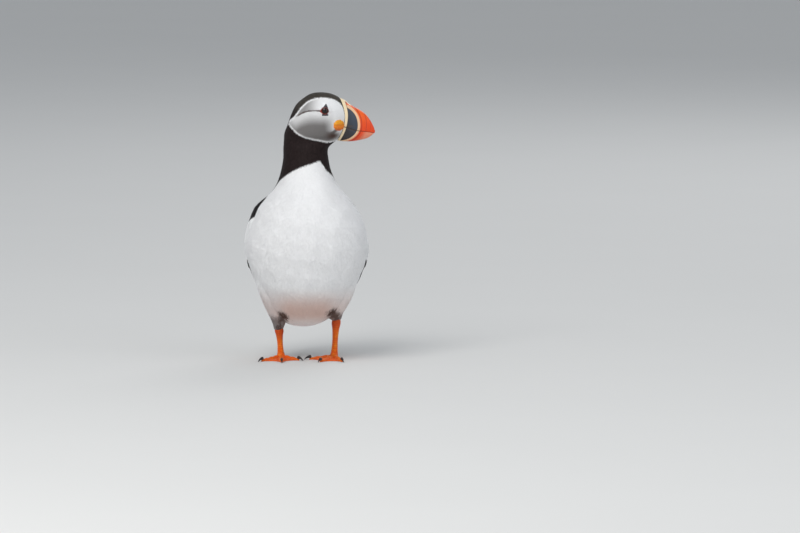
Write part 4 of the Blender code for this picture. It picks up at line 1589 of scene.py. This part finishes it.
    def build(self) -> None:
        """Grows the coat in pieces by region."""
        material = PlumageFinish().material("coat_plumage")
        trunk = self.trunk()
        z = trunk.roots[:, 2]
        front = np.abs(self.body.inverse(trunk.roots)[1]) < np.radians(118)
        face, above_breast = z > 189, z > 152
        breast, belly = (z > 88) & ~above_breast & front, (z <= 88) & front
        back = ~(above_breast | breast | belly)
        regions = (
            ("face_feathers", face, SMALL_VANE, "face_plumage"),
            ("neck_feathers", above_breast & ~face, SMALL_VANE, "black_plumage"),
            ("breast_feathers", breast, BROAD_VANE, "white_plumage"),
            ("belly_feathers", belly, BROAD_VANE, "white_plumage"),
            ("back_feathers", back, BROAD_VANE, "black_plumage"),
        )
        for name, keep, pattern, slot in regions:
            shell = trunk.chosen(keep).lay(self.surface, pattern, self.rng, self.marks)
            self.add(name, shell, material, slot)
        for plan in LEGS:
            shell = self.thigh(plan).lay(self.surface, SMALL_VANE, self.rng, self.marks)
            self.add(f"thigh_feathers_{plan.side.word}", shell, material, "thigh_plumage")


# -------- eyes and the bare parts of the face
def ball(rings: int, columns: int, opening: float) -> tuple[Array, Array]:
    """Directions out of a ball's middle and their tilts, in rings whose first is tilted by opening."""
    tilt, turn = crossed(np.linspace(opening, np.pi - opening, rings), turns(columns))
    return np.stack([np.sin(tilt) * np.cos(turn), np.sin(tilt) * np.sin(turn), np.cos(tilt)], -1), tilt


Outline = Callable[[Array], Array]


@dataclass(frozen=True)
class EyePlate:
    """A horny plate with round corners, by its place from the eye and its sides' angles and distances."""

    shift: Pair
    sides: tuple[Pair, ...]
    rise: float
    steepness: float

    def outline(self, turn: Array) -> Array:
        """The radius at an angle."""
        reach = sum((np.maximum(np.cos(turn - math.radians(a)), 0) / d) ** 12 for a, d in self.sides)
        return reach ** (-1 / 12)


@dataclass
class Face(Assembly):
    """One side's eye with its rim and plates, and the folded skin at the corner of the mouth."""

    surface: Surface
    side: Side
    eye: Material
    horn: Material
    flesh: Material
    rim_radius: float = 3.0
    rim_width: float = 0.50
    # a tall pointed plate above the eye and a low bar below it
    plates: tuple[EyePlate, ...] = (
        EyePlate((0.2, 1.3), ((-90, 2.3), (19.1, 2.9), (142.3, 2.5)), 0.78, 2.6),
        EyePlate((0.3, -3.55), ((90, 0.75), (-90, 0.75), (0, 2.9), (180, 2.9)), 0.85, 5),
    )
    gape_folds: int = 9
    gape_reach: Pair = (4.6, 4.9)

    def on_skin(self, x: Array, z: Array) -> tuple[Array, Array]:
        """Where lines across the head meet the skin.

        Args:
            x: the lines' reach along the head.
            z: their heights.

        Returns:
            The places, and the skin's normals there.
        """
        hits = []
        for px, pz in zip(x.ravel(), z.ravel()):
            start = Vector((px, HEAD_MIDDLE + self.side.value * 40, pz))
            hit = self.surface.tree.ray_cast(start, Vector((0, -self.side.value, 0)))
            hits.append(hit[0] or Vector((px, HEAD_MIDDLE, pz)))
        places, normals = self.surface.drop(np.array(hits))
        return places.reshape(*x.shape, 3), normals.reshape(*x.shape, 3)

    def dome(self, centre: Array, outline: Outline, rise: float, steepness: float) -> tuple[Array, ...]:
        """Lays a low dome on the skin.

        Args:
            centre: the reach and height of its middle.
            outline: gives its radius at an angle.
            rise: how high it is.
            steepness: how steep its edge is.

        Returns:
            Its grid of points, and the share outwards, angle and normal of each.
        """
        share, turn = crossed(np.sin(np.linspace(0.02, 1, 22) * np.pi / 2), turns(72))
        radius = outline(turn) * share
        places, normals = self.on_skin(centre[0] + radius * np.cos(turn), centre[1] + radius * np.sin(turn))
        height = rise * (1 - share**steepness) ** 0.6 - 0.25
        return places + normals * height[..., None], share, turn, normals

    def eyeball(self) -> Shell:
        """The eye, whose points know how far they are from the pupil's middle."""
        directions, tilt = ball(40, 48, 0.03)
        directions = directions[..., [0, 2, 1]] * (1, self.side.value, 1)
        centre = np.array([EYE_CENTRE[0], HEAD_MIDDLE + self.side.value * EYE_CENTRE[1], EYE_CENTRE[2]])
        radius = EYE_RADIUS * (1 + 0.035 * bell(tilt, 0.42))
        shell = Shell.tube(centre + directions * radius[..., None])
        shell.values = {"away": np.append(EYE_RADIUS * tilt, [0, EYE_RADIUS * math.pi])}
        return shell

    def eye_rim(self) -> Shell:
        """The thick rim of the lids, drawn out into a corner behind the eye."""
        turn, roll = crossed(turns(96), turns(14))
        corner = bell(turn - 3.3, 0.42)
        beads = 1 + 0.10 * np.sin(turn * 17) + 0.06 * np.sin(turn * 29 + 1) + 1.5 * corner
        radius = self.rim_radius + 0.08 * np.cos(2 * turn) + 0.35 * corner
        outward = np.stack([np.cos(turn), 0 * turn, np.sin(turn)], -1)
        line = EYE_CENTRE + (radius[..., None] * outward)[:, :1]
        places, up = self.on_skin(line[..., 0], line[..., 2])
        over_ball = EYE_CENTRE[1] + np.sqrt(EYE_RADIUS**2 - np.minimum(radius[:, :1], 3.2) ** 2)
        above_skin = self.side.value * (places[..., 1] - HEAD_MIDDLE)
        places[..., 1] = HEAD_MIDDLE + self.side.value * np.maximum(over_ball, above_skin)
        thick = self.rim_width * beads / 2
        points = places + up * (0.02 + 1.25 * thick * np.sin(roll))[..., None]
        shell = Shell.grid(points + outward * (1.15 * thick * np.cos(roll))[..., None], wrap=True, loop=True)
        shell.values = {"red": (0.45 + 0.55 * ease(-0.3, 0.6, np.cos(turn - 3.7))).ravel()}
        return shell

    def plate(self, plate: EyePlate) -> Shell:
        """One horny plate of the eye, laid on the skin."""
        centre = EYE_CENTRE[[0, 2]] + np.array(plate.shift)
        points = self.dome(centre, plate.outline, plate.rise, plate.steepness)[0]
        shell = Shell.tube(points, [points[0].mean(0)])
        shell.values = {"red": np.zeros(len(shell.points))}
        return shell

    def gape_outline(self, turn: Array) -> Array:
        """The mouth corner's wavy radius at an angle."""
        wave = 0.16 * np.cos(self.gape_folds * turn + 0.5) + 0.10 * np.cos(14 * turn)
        return 1 / np.hypot(np.cos(turn) / self.gape_reach[0], np.sin(turn) / self.gape_reach[1]) + wave

    def gape(self) -> Shell:
        """The corner of the mouth: a rosette of soft folds."""
        centre = GAPE_CENTRE[[0, 2]]
        points, share, turn, normals = self.dome(centre, self.gape_outline, 2, 3)
        ahead, above = points[..., 0] - centre[0], points[..., 2] - centre[1]
        fold = 0.5 + 0.5 * np.cos(self.gape_folds * turn + 2.2 * np.sin(share * 5))
        slit = bell(above - 0.1 * ahead, 0.5) * ease(1, 0.75, share)
        depth = 0.5 * fold * share * (1 - share**4) + 0.4 * slit
        points = points - normals * depth[..., None]
        rise = 0.5 + (points[..., 2] - centre[1]) / (2 * self.gape_reach[1])
        shell = Shell.tube(points, [points[0].mean(0)])
        # fold: how deep the skin sinks, which the finish paints as shade
        shell.values = {"rise": np.append(rise, 0.5), "fold": np.append(np.clip(depth / 0.9, 0, 1), 0.6)}
        return shell

    def build(self) -> None:
        """Builds the side's pieces."""
        word = self.side.word
        self.add(f"eyeball_{word}", self.eyeball(), self.eye, "eye", f"eye_{word}")
        parts = [self.eye_rim(), *map(self.plate, self.plates)]
        self.add(f"eye_plates_{word}", Shell.joined(parts), self.horn, "bill_horn")
        self.add(f"gape_folds_{word}", self.gape(), self.flesh, "gape_skin", f"gape_{word}")


# -------- wings and tail
@dataclass
class Quill:
    """A long stiff feather along a path, with a shaft and closed vanes."""

    path: Array
    normals: Array
    width: float
    shade: float
    point: float
    thickness: float = 0.16
    columns: int = 9

    def shell(self) -> Shell:
        """The feather as a closed shell."""
        share, across = np.linspace(0, 1, len(self.path)), np.linspace(-1, 1, self.columns)
        heading = tangent(np.gradient(self.path, axis=0), self.normals)
        beside = np.cross(heading, self.normals)
        half = 0.5 * self.width * (0.45 + 0.55 * ease(0, 0.35, share))
        half = half * np.clip(1 - ease(0.72, 1, share) ** 2 * share**9, 0.02, 1) ** self.point
        arch = 0.055 * self.width * (1 - across**2) * (half / half.max())[:, None]
        shaft = 0.16 * bell(across, 0.10) * (1 - share[:, None] * 0.7)
        flat = self.path[:, None] + beside[:, None] * (half[:, None] * across)[..., None]
        heights = arch + shaft + self.thickness, arch
        shell = Shell.slab(*(flat + self.normals[:, None] * height[..., None] for height in heights))
        along, wide = (np.tile(grid.ravel(), 2) for grid in crossed(share, across))
        shell.values = {"along": along, "across": wide, "shade": np.full(len(along), self.shade)}
        return shell


class WingForm:
    """The closed wing's surface by height and share of the way from its front edge to its back edge."""

    # Heights, and degrees round the body where the wing begins and ends; on the left it begins further back.
    FRONT = ((143, 126), (138, 112), (131, 99), (122, 97), (108, 101), (88, 103), (72, 106), (58, 119))
    FRONT += ((46, 142), (36, 163))
    BACK = ((143, 142), (136, 151), (118, 158), (92, 164), (70, 169), (36, 173))
    SET_BACK = ((142, 12), (136, 16), (122, 20), (84, 1))
    TOP = 150
    FREE_HEIGHT = 76
    TIP = 37
    SLOPE = np.array([-0.24, 0.58, -1])
    CLEARANCE = 0.7
    THICKNESS = 6

    def __init__(self, body: LoftForm, side: Side) -> None:
        """A wing on one side of the body."""
        self.body = body
        self.side = side

    def read(self, height: Array, share: Array, drop: Array | float = 0.0) -> tuple[Array, Array]:
        """Points and normals of the wing.

        Args:
            height: heights in mm.
            share: 0 at the front edge and 1 at the back edge, and a little beyond both.
            drop: how far under the outer surface to read, in mm.

        Returns:
            Points and outward normals.
        """
        first, last = self.edges(height)
        angle = np.radians(self.side.value * (first + (last - first) * share))
        level = np.maximum(height, self.FREE_HEIGHT)
        points, normals = self.body.frame(self.body.position(level), angle)
        slope = self.SLOPE * np.array([self.side.value, 1, 1])
        points = points + slope * (level - height)[..., None]
        shoulder = np.clip((144.5 - height) / 16, 0, 1) ** 0.8
        taper = np.where(height > 80, 1, 0.35 + 0.65 * (height - self.TIP) / (80 - self.TIP))
        swell = self.THICKNESS * shoulder * np.clip(taper, 0.2, 1)
        swell = swell * np.sin(np.pi * np.clip(share, 0, 1)) ** 0.7
        lift = self.CLEARANCE + np.maximum(1.1 + swell - drop, 0.35)
        sides = np.minimum(ease(-0.07, 0.01, share), ease(1.24, 1, share))
        blend = ease(149.5, 141, height) * (1 - ease(80, 100, height) * (1 - sides))
        lift = lift * blend - 1.4 * (1 - blend)
        return points + normals * lift[..., None], normals

    @staticmethod
    def white_reach(height: Array) -> Array:
        """The share of the wing that the flank's white feathers cover at a height."""
        return 0.27 * ease(127, 114, height) * ease(89, 111, height)

    def edges(self, height: Array) -> tuple[Array, Array]:
        """The front and back edges as degrees round the body at a height."""
        set_back = smooth_curve(self.SET_BACK, height) if self.side is Side.LEFT else 0
        return smooth_curve(self.FRONT, height) + set_back, smooth_curve(self.BACK, height)

    def covers(self, points: Array) -> Array:
        """Which points of the body lie well under the wing."""
        _, angle, _ = self.body.inverse(points)
        first, last = self.edges(points[:, 2])
        share = (np.degrees(angle) * self.side.value - first) / (last - first)
        return (share > 0.12) & (share < 1) & (points[:, 2] < 138) & (points[:, 2] > 84)


@dataclass
class Wing(Assembly):
    """One closed wing: a base, rows of cover feathers, and the long flight feathers."""

    form: WingForm
    seed: int
    base_depth: float = 1.2
    # height, length, width, count and the tips' depth under the surface, for each row
    cover_rows: tuple[tuple[float, float, float, int, float], ...] = (
        ((98, 20, 6, 12, 0.95), (106, 15, 5.2, 14, 0.7))
    )

    def __post_init__(self) -> None:
        """Starts the random numbers and makes the base that the feathers lie on."""
        self.rng = np.random.default_rng(self.seed)
        self.sheet = self.base()
        self.surface = Surface(self.sheet.mesh("wing"))

    def base(self) -> Shell:
        """The wing under its feathers, which runs out under the coat above and at its sides."""
        fall, share = crossed(np.linspace(0, 1, 92), np.linspace(-0.08, 1.25, 44))
        height = self.form.TOP - (107 - 42 * np.maximum(share - 0.42, 0)) * fall
        share = share * (0.82 + 0.18 * ease(86, 104, height))
        sunk = np.maximum(ease(104, 94, height) * ease(0.25, 0.40, share), ease(84, 76, height))
        outer, normals = self.form.read(height, share, drop=self.base_depth + 1.9 * sunk)
        inner, _ = self.form.read(height, share, drop=99)
        shell = Shell.slab(outer, inner - normals * 0.35)
        shell.values = {key: np.full(len(shell.points), 0.3) for key in ("along", "across", "shade")}
        return shell

    def map_place(self, points: Array) -> Array:
        """Where points lie on the body's patch of the map."""
        return self.form.body.on_map(*self.form.body.inverse(points)[:2])

    def rooted(self, height: Array, share: Array, slant: float, *sizes: Array) -> Vanes:
        """Vanes that point down the wing.

        Args:
            height: the heights of their roots.
            share: the roots' shares of the way across the wing.
            slant: how much that share grows in a mm downwards.
            sizes: their length, width and lift.

        Returns:
            The vanes.
        """
        start, _ = self.form.read(height, share, drop=self.base_depth)
        below, _ = self.form.read(height - 1, share + slant, drop=self.base_depth)
        roots, normals = self.surface.drop(start)
        return Vanes(roots, normals, tangent(below - start, normals), *sizes, self.map_place(roots))

    def small_covers(self) -> Shell:
        """The small soft feathers of shoulder and upper wing, which grow longer downwards."""
        heights, shares = [], []
        height, row = 146, 0
        while height > 100:
            first, last = self.form.edges(np.array(height))
            count = int((last - first) * 1.2 * 0.85 / (1.7 + 0.030 * (self.form.TOP - height)))
            spots = (np.arange(count) + 0.5 * (row % 2) + self.rng.uniform(-0.2, 0.2, count)) / count
            shares.append(0.015 + 1.12 * spots)
            heights.append(height + self.rng.uniform(-0.35, 0.35, count))
            height -= 1.45 + 0.024 * (self.form.TOP - height)
            row += 1
        height, share = np.concatenate(heights), np.concatenate(shares)
        hidden = share >= 0.55 + 0.045 * (self.form.TOP - height)
        keep = (share > self.form.white_reach(height) - 0.02) & ~hidden
        height, share = height[keep], share[keep]
        down, hind = (self.form.TOP - height) / 50, ease(0.8, 1.05, share)
        length = (6 + 5.5 * down + 4 * hind * down) * self.rng.uniform(0.92, 1.08, len(height))
        width = (2.9 + 3.2 * down + 1.2 * hind) * self.rng.uniform(0.92, 1.08, len(height))
        lift = (1.1 + 0.6 * down) * (0.35 + 0.65 * ease(147, 141, height))
        vanes = self.rooted(height, share, 0.004, length, width, lift)
        return vanes.lay(self.surface, COVER_VANE, self.rng, None)

    def flank_feathers(self) -> Shell:
        """White feathers of the breast's side that lie over the wing's front edge."""
        spots = [
            (height, share)
            for row, height in enumerate(np.arange(124, 91, -1.35))
            for share in np.arange(-0.05 + 0.02 * (row % 2), self.form.white_reach(height), 0.035)
        ]
        height, share = (np.array(spots) + self.rng.uniform(-0.012, 0.012, (len(spots), 2)) * (30, 1)).T
        sizes = (np.full(len(spots), size) for size in (8, 2.8, 2.1))

        def white(points: Array, wander: Array) -> dict[str, Array]:
            """Plain white plumage."""
            return {key: np.zeros(len(points)) for key in ("dark", "grey", "crown", "warm", "soot")}

        return self.rooted(height, share, 0, *sizes).lay(self.surface, BROAD_VANE, self.rng, white)

    def feather(self, root: Triple, tip: Triple, width: float, point: float) -> Shell:
        """A feather from one place of the wing to another.

        Args:
            root: its root's height, share and depth under the wing's outer surface.
            tip: the same for its tip.
            width: its full width in mm.
            point: how pointed its tip is.

        Returns:
            The feather's shell, with its place on the map.
        """
        t = np.linspace(0, 1, 18)
        height, share, drop = (start + (stop - start) * t for start, stop in zip(root, tip))
        points, normals = self.form.read(height, share)
        points = points - normals * drop[:, None]
        quill = Quill(points, normals, width, self.rng.uniform(), point)
        shell = quill.shell()
        patch = np.stack([shell.values["across"], shell.values["along"] * 2 - 1], -1) * VANE_PATCH
        shell.uv = self.map_place(shell.points[: quill.columns].mean(0)[None]) + patch
        return shell

    def flight_feathers(self) -> list[Shell]:
        """Primaries below, then secondaries and the innermost feathers over them."""
        shells = []
        for k in range(11):
            tip = (38 + 2.1 * k + 0.06 * k * k, 0.16 + 0.075 * k, 2.7 - 0.07 * k)
            shells.append(self.feather((92, 0.08 + 0.07 * k, 3), tip, 6.4, 0.62))
        for k in range(12):
            t = k / 11
            tip = (64 - 6 * t, 0.15 + 0.60 * t, 1.6 - 0.05 * k)
            shells.append(self.feather((98 - 2 * t, 0.10 + 0.56 * t, 2.1), tip, 6.8, 0.45))
        for k in range(7):
            t = k / 6
            tip = (57 + 15 * t, 0.72 + 0.24 * t, 0.95)
            shells.append(self.feather((108 + 2 * t, 0.62 + 0.36 * t, 1.9), tip, 8.2 - 1.5 * t, 0.4))
        return shells

    def large_covers(self) -> list[Shell]:
        """Two rows of long covers over the roots of the flight feathers."""
        shells = []
        for height, length, width, count, tip_drop in self.cover_rows:
            for k in range(1, count + 1):
                share = 0.02 + (k - 0.1) / count + self.rng.uniform(-0.012, 0.012)
                top = height + self.rng.uniform(-0.5, 0.5)
                end = top - length * self.rng.uniform(0.96, 1.04)
                if share >= self.form.white_reach(top - 0.45 * length):
                    tip = (end, share + 0.015, tip_drop)
                    shells.append(self.feather((top, share, 1.9), tip, width, 0.35))
        return shells

    def build(self) -> None:
        """Builds the wing's pieces."""
        word = self.form.side.word
        quills = QuillFinish().material(f"wing_quills_{word}")
        plumage = PlumageFinish().material(f"flank_plumage_{word}")
        self.add(f"wing_base_{word}", self.sheet, quills, "wing_plumage", f"wing_{word}")
        self.add(f"flank_feathers_{word}", self.flank_feathers(), plumage, "white_plumage")
        self.add(f"small_covers_{word}", self.small_covers(), quills, "wing_plumage")
        self.add(f"flight_feathers_{word}", Shell.joined(self.flight_feathers()), quills, "wing_plumage")
        self.add(f"large_covers_{word}", Shell.joined(self.large_covers()), quills, "wing_plumage")


@dataclass
class Tail(Assembly):
    """Short stiff tail feathers with two rows of covers."""

    root: Triple = (0.0, 47.0, 57.0)
    tip: Triple = (0.0, 79.0, 25.0)
    half_root: float = 9.0
    half_tip: float = 15.6
    feathers: int = 16
    # length, width and level of each row of covers
    covers: tuple[Triple, ...] = ((0.62, 6.4, 1.5), (0.42, 6, 2.3))
    seed: int = 77

    def quill(self, across: float, level: float, length: float, width: float, shade: float) -> Shell:
        """One feather.

        Args:
            across: its place from -1 at the right edge to 1 at the left.
            level: how far it lies over the tail's plane, in mm.
            length: its length as a share of the tail's.
            width: its full width in mm.
            shade: its own shade from 0 to 1.

        Returns:
            The feather's shell.
        """
        t = np.linspace(0, 1, 14)
        run = np.array(self.tip) - self.root
        up = unit(np.cross(run, [1, 0, 0]))
        up = up * np.sign(up[2])
        spread = (self.half_root + (self.half_tip - self.half_root) * t) * across
        path = self.root + run * (t * length)[:, None] + np.stack([spread, 0 * t, 0 * t], -1)
        path = path + up * (1.6 * (1 - across**2) + level)
        normals = np.broadcast_to(unit(up + np.array([0.16 * across, 0, 0])), path.shape)
        return Quill(path, normals, width, shade, point=0.4, thickness=0.22).shell()

    def build(self) -> None:
        """Builds the tail."""
        rng = np.random.default_rng(self.seed)
        shells = []
        for across in np.linspace(-1, 1, self.feathers):
            length = 0.985 - 0.10 * across**2 - rng.uniform(0, 0.035)
            shells.append(self.quill(across, 0.55 - 0.9 * abs(across), length, 6.6, rng.uniform()))
        for row, (length, width, level) in enumerate(self.covers):
            for k in range(9):
                across = -0.9 + 1.8 * (k + 0.5 * row) / 9
                shells.append(self.quill(across, level - 0.6 * abs(across), length, width, rng.uniform()))
        quills = QuillFinish().material("tail_quills")
        self.add("tail_feathers", Shell.joined(shells), quills, "wing_plumage", "tail")


# -------- legs and feet
def swept(middles: Array, first: Array, out: Array, second: Array, rise: Array) -> Shell:
    """A closed tube round middles, whose rings reach out along first and rise along second."""
    return Shell.tube(middles[:, None] + first * out[..., None] + second * rise[..., None])


@dataclass
class Leg(Assembly):
    """A bare scaled leg with its webbed foot and claws."""

    plan: LegPlan
    skin: Material
    horn: Material
    voxel: float = 0.42
    foot_radius: float = 3.4
    hub_height: float = 6.0
    scute_pitch: float = 1.7
    toe_width: float = 4.4
    toe_height: float = 4.2
    web_thickness: float = 0.85
    claw_length: float = 7.5
    claw_radius: float = 1.55
    # share of the way down, half width and half depth of the shank
    shank: tuple[Triple, ...] = (
        ((0, 3, 3.2), (0.16, 3.6, 3.9), (0.26, 3.9, 4.2), (0.40, 3, 3.7))
        + ((0.65, 2.45, 3.3), (0.86, 2.75, 3.35), (1, 3.2, 3.3))
    )

    def __post_init__(self) -> None:
        """Finds the ground under the heel and the lower end of the thigh's feathers."""
        self.heel = np.array([*self.plan.heel, 0])
        self.ankle = self.plan.thigh[-1][0]

    def toe_direction(self, toe: Toe) -> Array:
        """Where a toe points on the ground."""
        turn = math.radians(-self.plan.side.value * (toe.angle + self.plan.toe_in))
        return np.array([math.sin(turn), -math.cos(turn), 0])

    def tarsus(self) -> Shell:
        """The shank from inside the thigh's feathers down to the foot."""
        height, across, along, _ = self.plan.thigh[-1]
        top = np.array([across, along, height + 5])
        foot = self.heel + np.array([0, 0, 2.2])
        share, turn = np.linspace(0, 1, 90), turns(40)
        wide, deep = (smooth_curve(np.array(self.shank)[:, [0, k]], share)[:, None] for k in (1, 2))
        middles = top + (foot - top) * share[:, None]
        scutes = 0.16 * np.abs(np.sin(np.pi * middles[:, 2] / self.scute_pitch))[:, None]
        scutes = scutes * ease(0.1, 0.8, -np.sin(turn))
        out, back = np.cos(turn) * (wide + scutes), np.sin(turn) * (deep + scutes)
        return swept(middles, np.array([1, 0, 0]), out, np.array([0, 1, 0]), back)

    def toe(self, toe: Toe) -> Shell:
        """One toe with its joints, its scutes and its flat sole."""
        direction = self.toe_direction(toe)
        share, turn = np.linspace(0, 1.02, 60), turns(28)
        bones = 4 if toe.name == "outer" else 3
        knots = 1 + 0.085 * np.cos(2 * np.pi * (share * bones - 0.06))
        half = 0.5 * self.toe_width * (1 - 0.30 * share) * knots
        tall = self.toe_height * (1 - 0.42 * share) * knots
        tall = np.where(share < 0.2, tall + (self.hub_height * 0.92 - tall) * (1 - ease(0, 0.2, share)), tall)
        end = np.sqrt(np.clip(1 - ((share - 0.90) / 0.125).clip(0, 1) ** 2, 0.02, 1))
        scutes = 0.10 * np.abs(np.sin(np.pi * share * toe.length / 1.25))
        sole = 0.5 + 0.5 * np.maximum(np.sin(turn), -0.55)
        out = (half * end)[:, None] * np.cos(turn)
        rise = (tall * end)[:, None] * sole + (scutes * end)[:, None] * ease(0.2, 0.9, np.sin(turn))
        rise = rise - (tall * end * 0.225)[:, None]
        middles = self.heel + direction * (share * toe.length)[:, None]
        return swept(middles, np.cross(UP, direction), out, UP, rise)

    def web(self, first: Toe, second: Toe) -> Shell:
        """The web between two toes, thin, slightly pleated and hollow at its edge."""
        share = np.linspace(0.08, 0.97, 40)[:, None, None]
        part = np.linspace(0, 1, 26)[None, :, None]
        a, b = (self.toe_direction(toe) * toe.length for toe in (first, second))
        sag = 1 - 0.17 * np.sin(np.pi * part) ** 0.8 * share**3
        ground = self.heel + (a * (1 - part) + b * part) * share * sag
        pleats = 0.16 * np.sin(part * 19 + share * 3) * np.sin(np.pi * part) * (0.3 + share)
        rise = self.web_thickness + 0.25 + pleats + 0.5 * (1 - np.sin(np.pi * part)) * (1 - share)
        return Shell.slab(ground + UP * rise, ground)

    def hub(self) -> Shell:
        """The joint over the heel where tarsus and toes meet."""
        directions, _ = ball(24, 36, 0.05)
        size = np.array([self.foot_radius, self.foot_radius + 0.3, self.foot_radius])
        return Shell.tube(self.heel + np.array([0, -0.4, 2.7]) + directions * size)

    def flesh(self) -> Mesh:
        """Tarsus, toes and webs grown together into one closed mesh, in mm."""
        shells = [self.tarsus(), self.hub()] + [self.toe(toe) for toe in TOES]
        shells += [self.web(first, second) for first, second in zip(TOES, TOES[1:])]

        def grow(target: Object) -> None:
            """Adds the remesh that joins the parts and the smoothing that heals it."""
            remesh = target.modifiers.new("grow together", "REMESH")
            remesh.mode, remesh.voxel_size, remesh.use_smooth_shade = "VOXEL", self.voxel, True
            smooth = target.modifiers.new("heal", "SMOOTH")
            smooth.iterations, smooth.factor = 3, 0.45

        mesh = baked(Shell.joined(shells).mesh("leg"), grow)
        points = points_of(mesh)
        set_points(mesh, np.maximum(points, [-np.inf, -np.inf, 0]))
        mesh.shade_smooth()
        return mesh

    def markings(self, points: Array) -> dict[str, Array]:
        """What the skin's finish reads.

        Args:
            points: points of the leg, in mm.

        Returns:
            Numbers from 0 to 1 named web, joint and scute.
        """
        flat, z = (points - self.heel)[:, :2], points[:, 2]
        paths = [np.array([(0, 0), self.toe_direction(toe)[:2] * toe.length]) for toe in TOES]
        from_toe = np.minimum(9, np.min([distance_to_path(flat, path) for path in paths], 0))
        knuckles = 0.4 * ease(9, 4, z) * (from_toe < 4)
        rings = np.abs(np.sin(np.pi * z / self.scute_pitch)) ** 0.5
        return {
            "web": ease(1.6, 2.6, from_toe) * (z < 7),
            "joint": np.maximum(ease(self.ankle - 13, self.ankle - 5, z), knuckles),
            # painted shade in the dips between the shank's scutes
            "scute": (1 - rings) * (z >= 7),
        }

    def claw(self, toe: Toe) -> Shell:
        """A toe's curved claw, whose points know how far along they are."""
        direction = self.toe_direction(toe)
        share, turn = np.linspace(0, 0.985, 26), turns(16)
        radius = self.claw_radius * (1 - share) ** 0.72 * 0.92 + 0.04
        start = self.heel + direction * (toe.length - 0.9)
        middles = start + direction * (self.claw_length * 0.985 * share)[:, None]
        middles[:, 2] = 0.25 + radius + 1.2 * np.sin(np.pi * np.minimum(1, share * 0.8 + 0.25))
        out, rise = 0.86 * radius[:, None] * np.cos(turn), radius[:, None] * np.sin(turn)
        shell = swept(middles, np.cross(UP, direction), out, UP, rise)
        shell.values = {"along": np.append(np.repeat(share, len(turn)), [0, 1])}
        return shell

    def build(self) -> None:
        """Builds the leg and its claws."""
        mesh = self.flesh()
        set_values(mesh, self.markings(points_of(mesh)))
        word = self.plan.side.word
        self.add(f"leg_{word}", mesh, self.skin, "leg_skin", f"tarsus_{word}", f"foot_{word}")
        for toe in TOES:
            name = f"claw_{word}_{toe.name}"
            self.add(f"{name}_horn", self.claw(toe), self.horn, "claw_horn", name)


# -------- floor, light and camera
@dataclass(frozen=True)
class Lamp:
    """A square soft light that looks at the bird."""

    name: str
    at: Triple
    size: float
    power: float
    tint: Colour

    def build(self) -> None:
        """Hangs the light, in metres."""
        data = bpy.data.lights.new(self.name, "AREA")
        data.size, data.energy, data.color = self.size, self.power, self.tint
        lamp = add_object(self.name, data)
        lamp.location = self.at
        lamp.rotation_euler = (Vector((0, 0, 0.11)) - lamp.location).to_track_quat("-Z", "Y").to_euler()


@dataclass
class Studio:
    """A pale floor, soft lights and the camera."""

    half_floor: float = 30.0
    elevation: float = 6.0
    distance: float = 6.0
    frame_width: float = 690.4
    sensor: float = 36.0
    aim: Triple = (80.7, 0.0, 81.1)
    sky: Colour = (0.86, 0.90, 0.95)
    sky_strength: float = 0.54
    lamps: tuple[Lamp, ...] = (
        Lamp("key", (-0.8, -1.5, 1.9), 1.3, 31.0, (1.0, 0.99, 0.97)),
        Lamp("fill", (1.7, -1.2, 0.9), 1.6, 7.8, (0.95, 0.97, 1.0)),
        Lamp("back", (0.9, 1.9, 1.7), 1.4, 12.0, (1.0, 1.0, 1.0)),
        Lamp("low", (-0.5, -1.7, 0.16), 0.9, 4.0, (1.0, 0.97, 0.93)),
    )

    def floor(self) -> None:
        """A wide floor under the bird."""
        corners = np.array([(-1, -1, 0), (1, -1, 0), (1, 1, 0), (-1, 1, 0)]) * self.half_floor
        floor = add_object("floor", Shell(corners, np.array([[0, 1, 2, 3]])).mesh("floor"))
        floor.data.materials.append(FloorFinish().material("floor"))

    def lights(self) -> None:
        """A large soft key light from the upper left, weaker ones elsewhere and an even sky."""
        for lamp in self.lamps:
            lamp.build()
        world = bpy.data.worlds.new("studio")
        bpy.context.scene.world = world
        world.use_nodes = True
        background = world.node_tree.nodes["Background"]
        background.inputs["Color"].default_value = (*self.sky, 1)
        background.inputs["Strength"].default_value = self.sky_strength

    def camera(self) -> None:
        """A distant camera a little above the bird."""
        data = bpy.data.cameras.new("camera")
        data.sensor_width = self.sensor
        data.lens = self.sensor * self.distance / (self.frame_width * MM)
        data.clip_end = 100
        camera = add_object("camera", data)
        rise = math.radians(self.elevation)
        away = Vector((0, -math.cos(rise), math.sin(rise)))
        camera.location = Vector(metres(self.aim)) + away * self.distance
        camera.rotation_euler = (-away).to_track_quat("-Z", "Y").to_euler()
        bpy.context.scene.camera = camera

    def build(self) -> None:
        """Builds the studio."""
        self.floor()
        self.lights()
        self.camera()
        bpy.context.scene.view_settings.view_transform = "Standard"


def main() -> None:
    """Builds the puffin and its studio."""
    logging.basicConfig(level=logging.INFO, format="%(name)s %(relativeCreated)d ms %(message)s")
    Studio().build()
    body = BodyForm()
    skin = Skin(body)
    skin.build()
    Bill().build()
    finishes = (EyeFinish().material("eye"), PlateFinish().material("plates"), FleshFinish().material("gape"))
    for side in Side:
        Face(skin.surface, side, *finishes).build()
    for side in Side:
        Wing(WingForm(body, side), seed=40 + side.value).build()
    Tail().build()
    leg_skin, claw_horn = LegFinish().material("leg_skin"), ClawFinish().material("claw_horn")
    for plan in LEGS:
        Leg(plan, leg_skin, claw_horn).build()
    Coat(body, skin.surface).build()


if __name__ == "__main__":
    main()
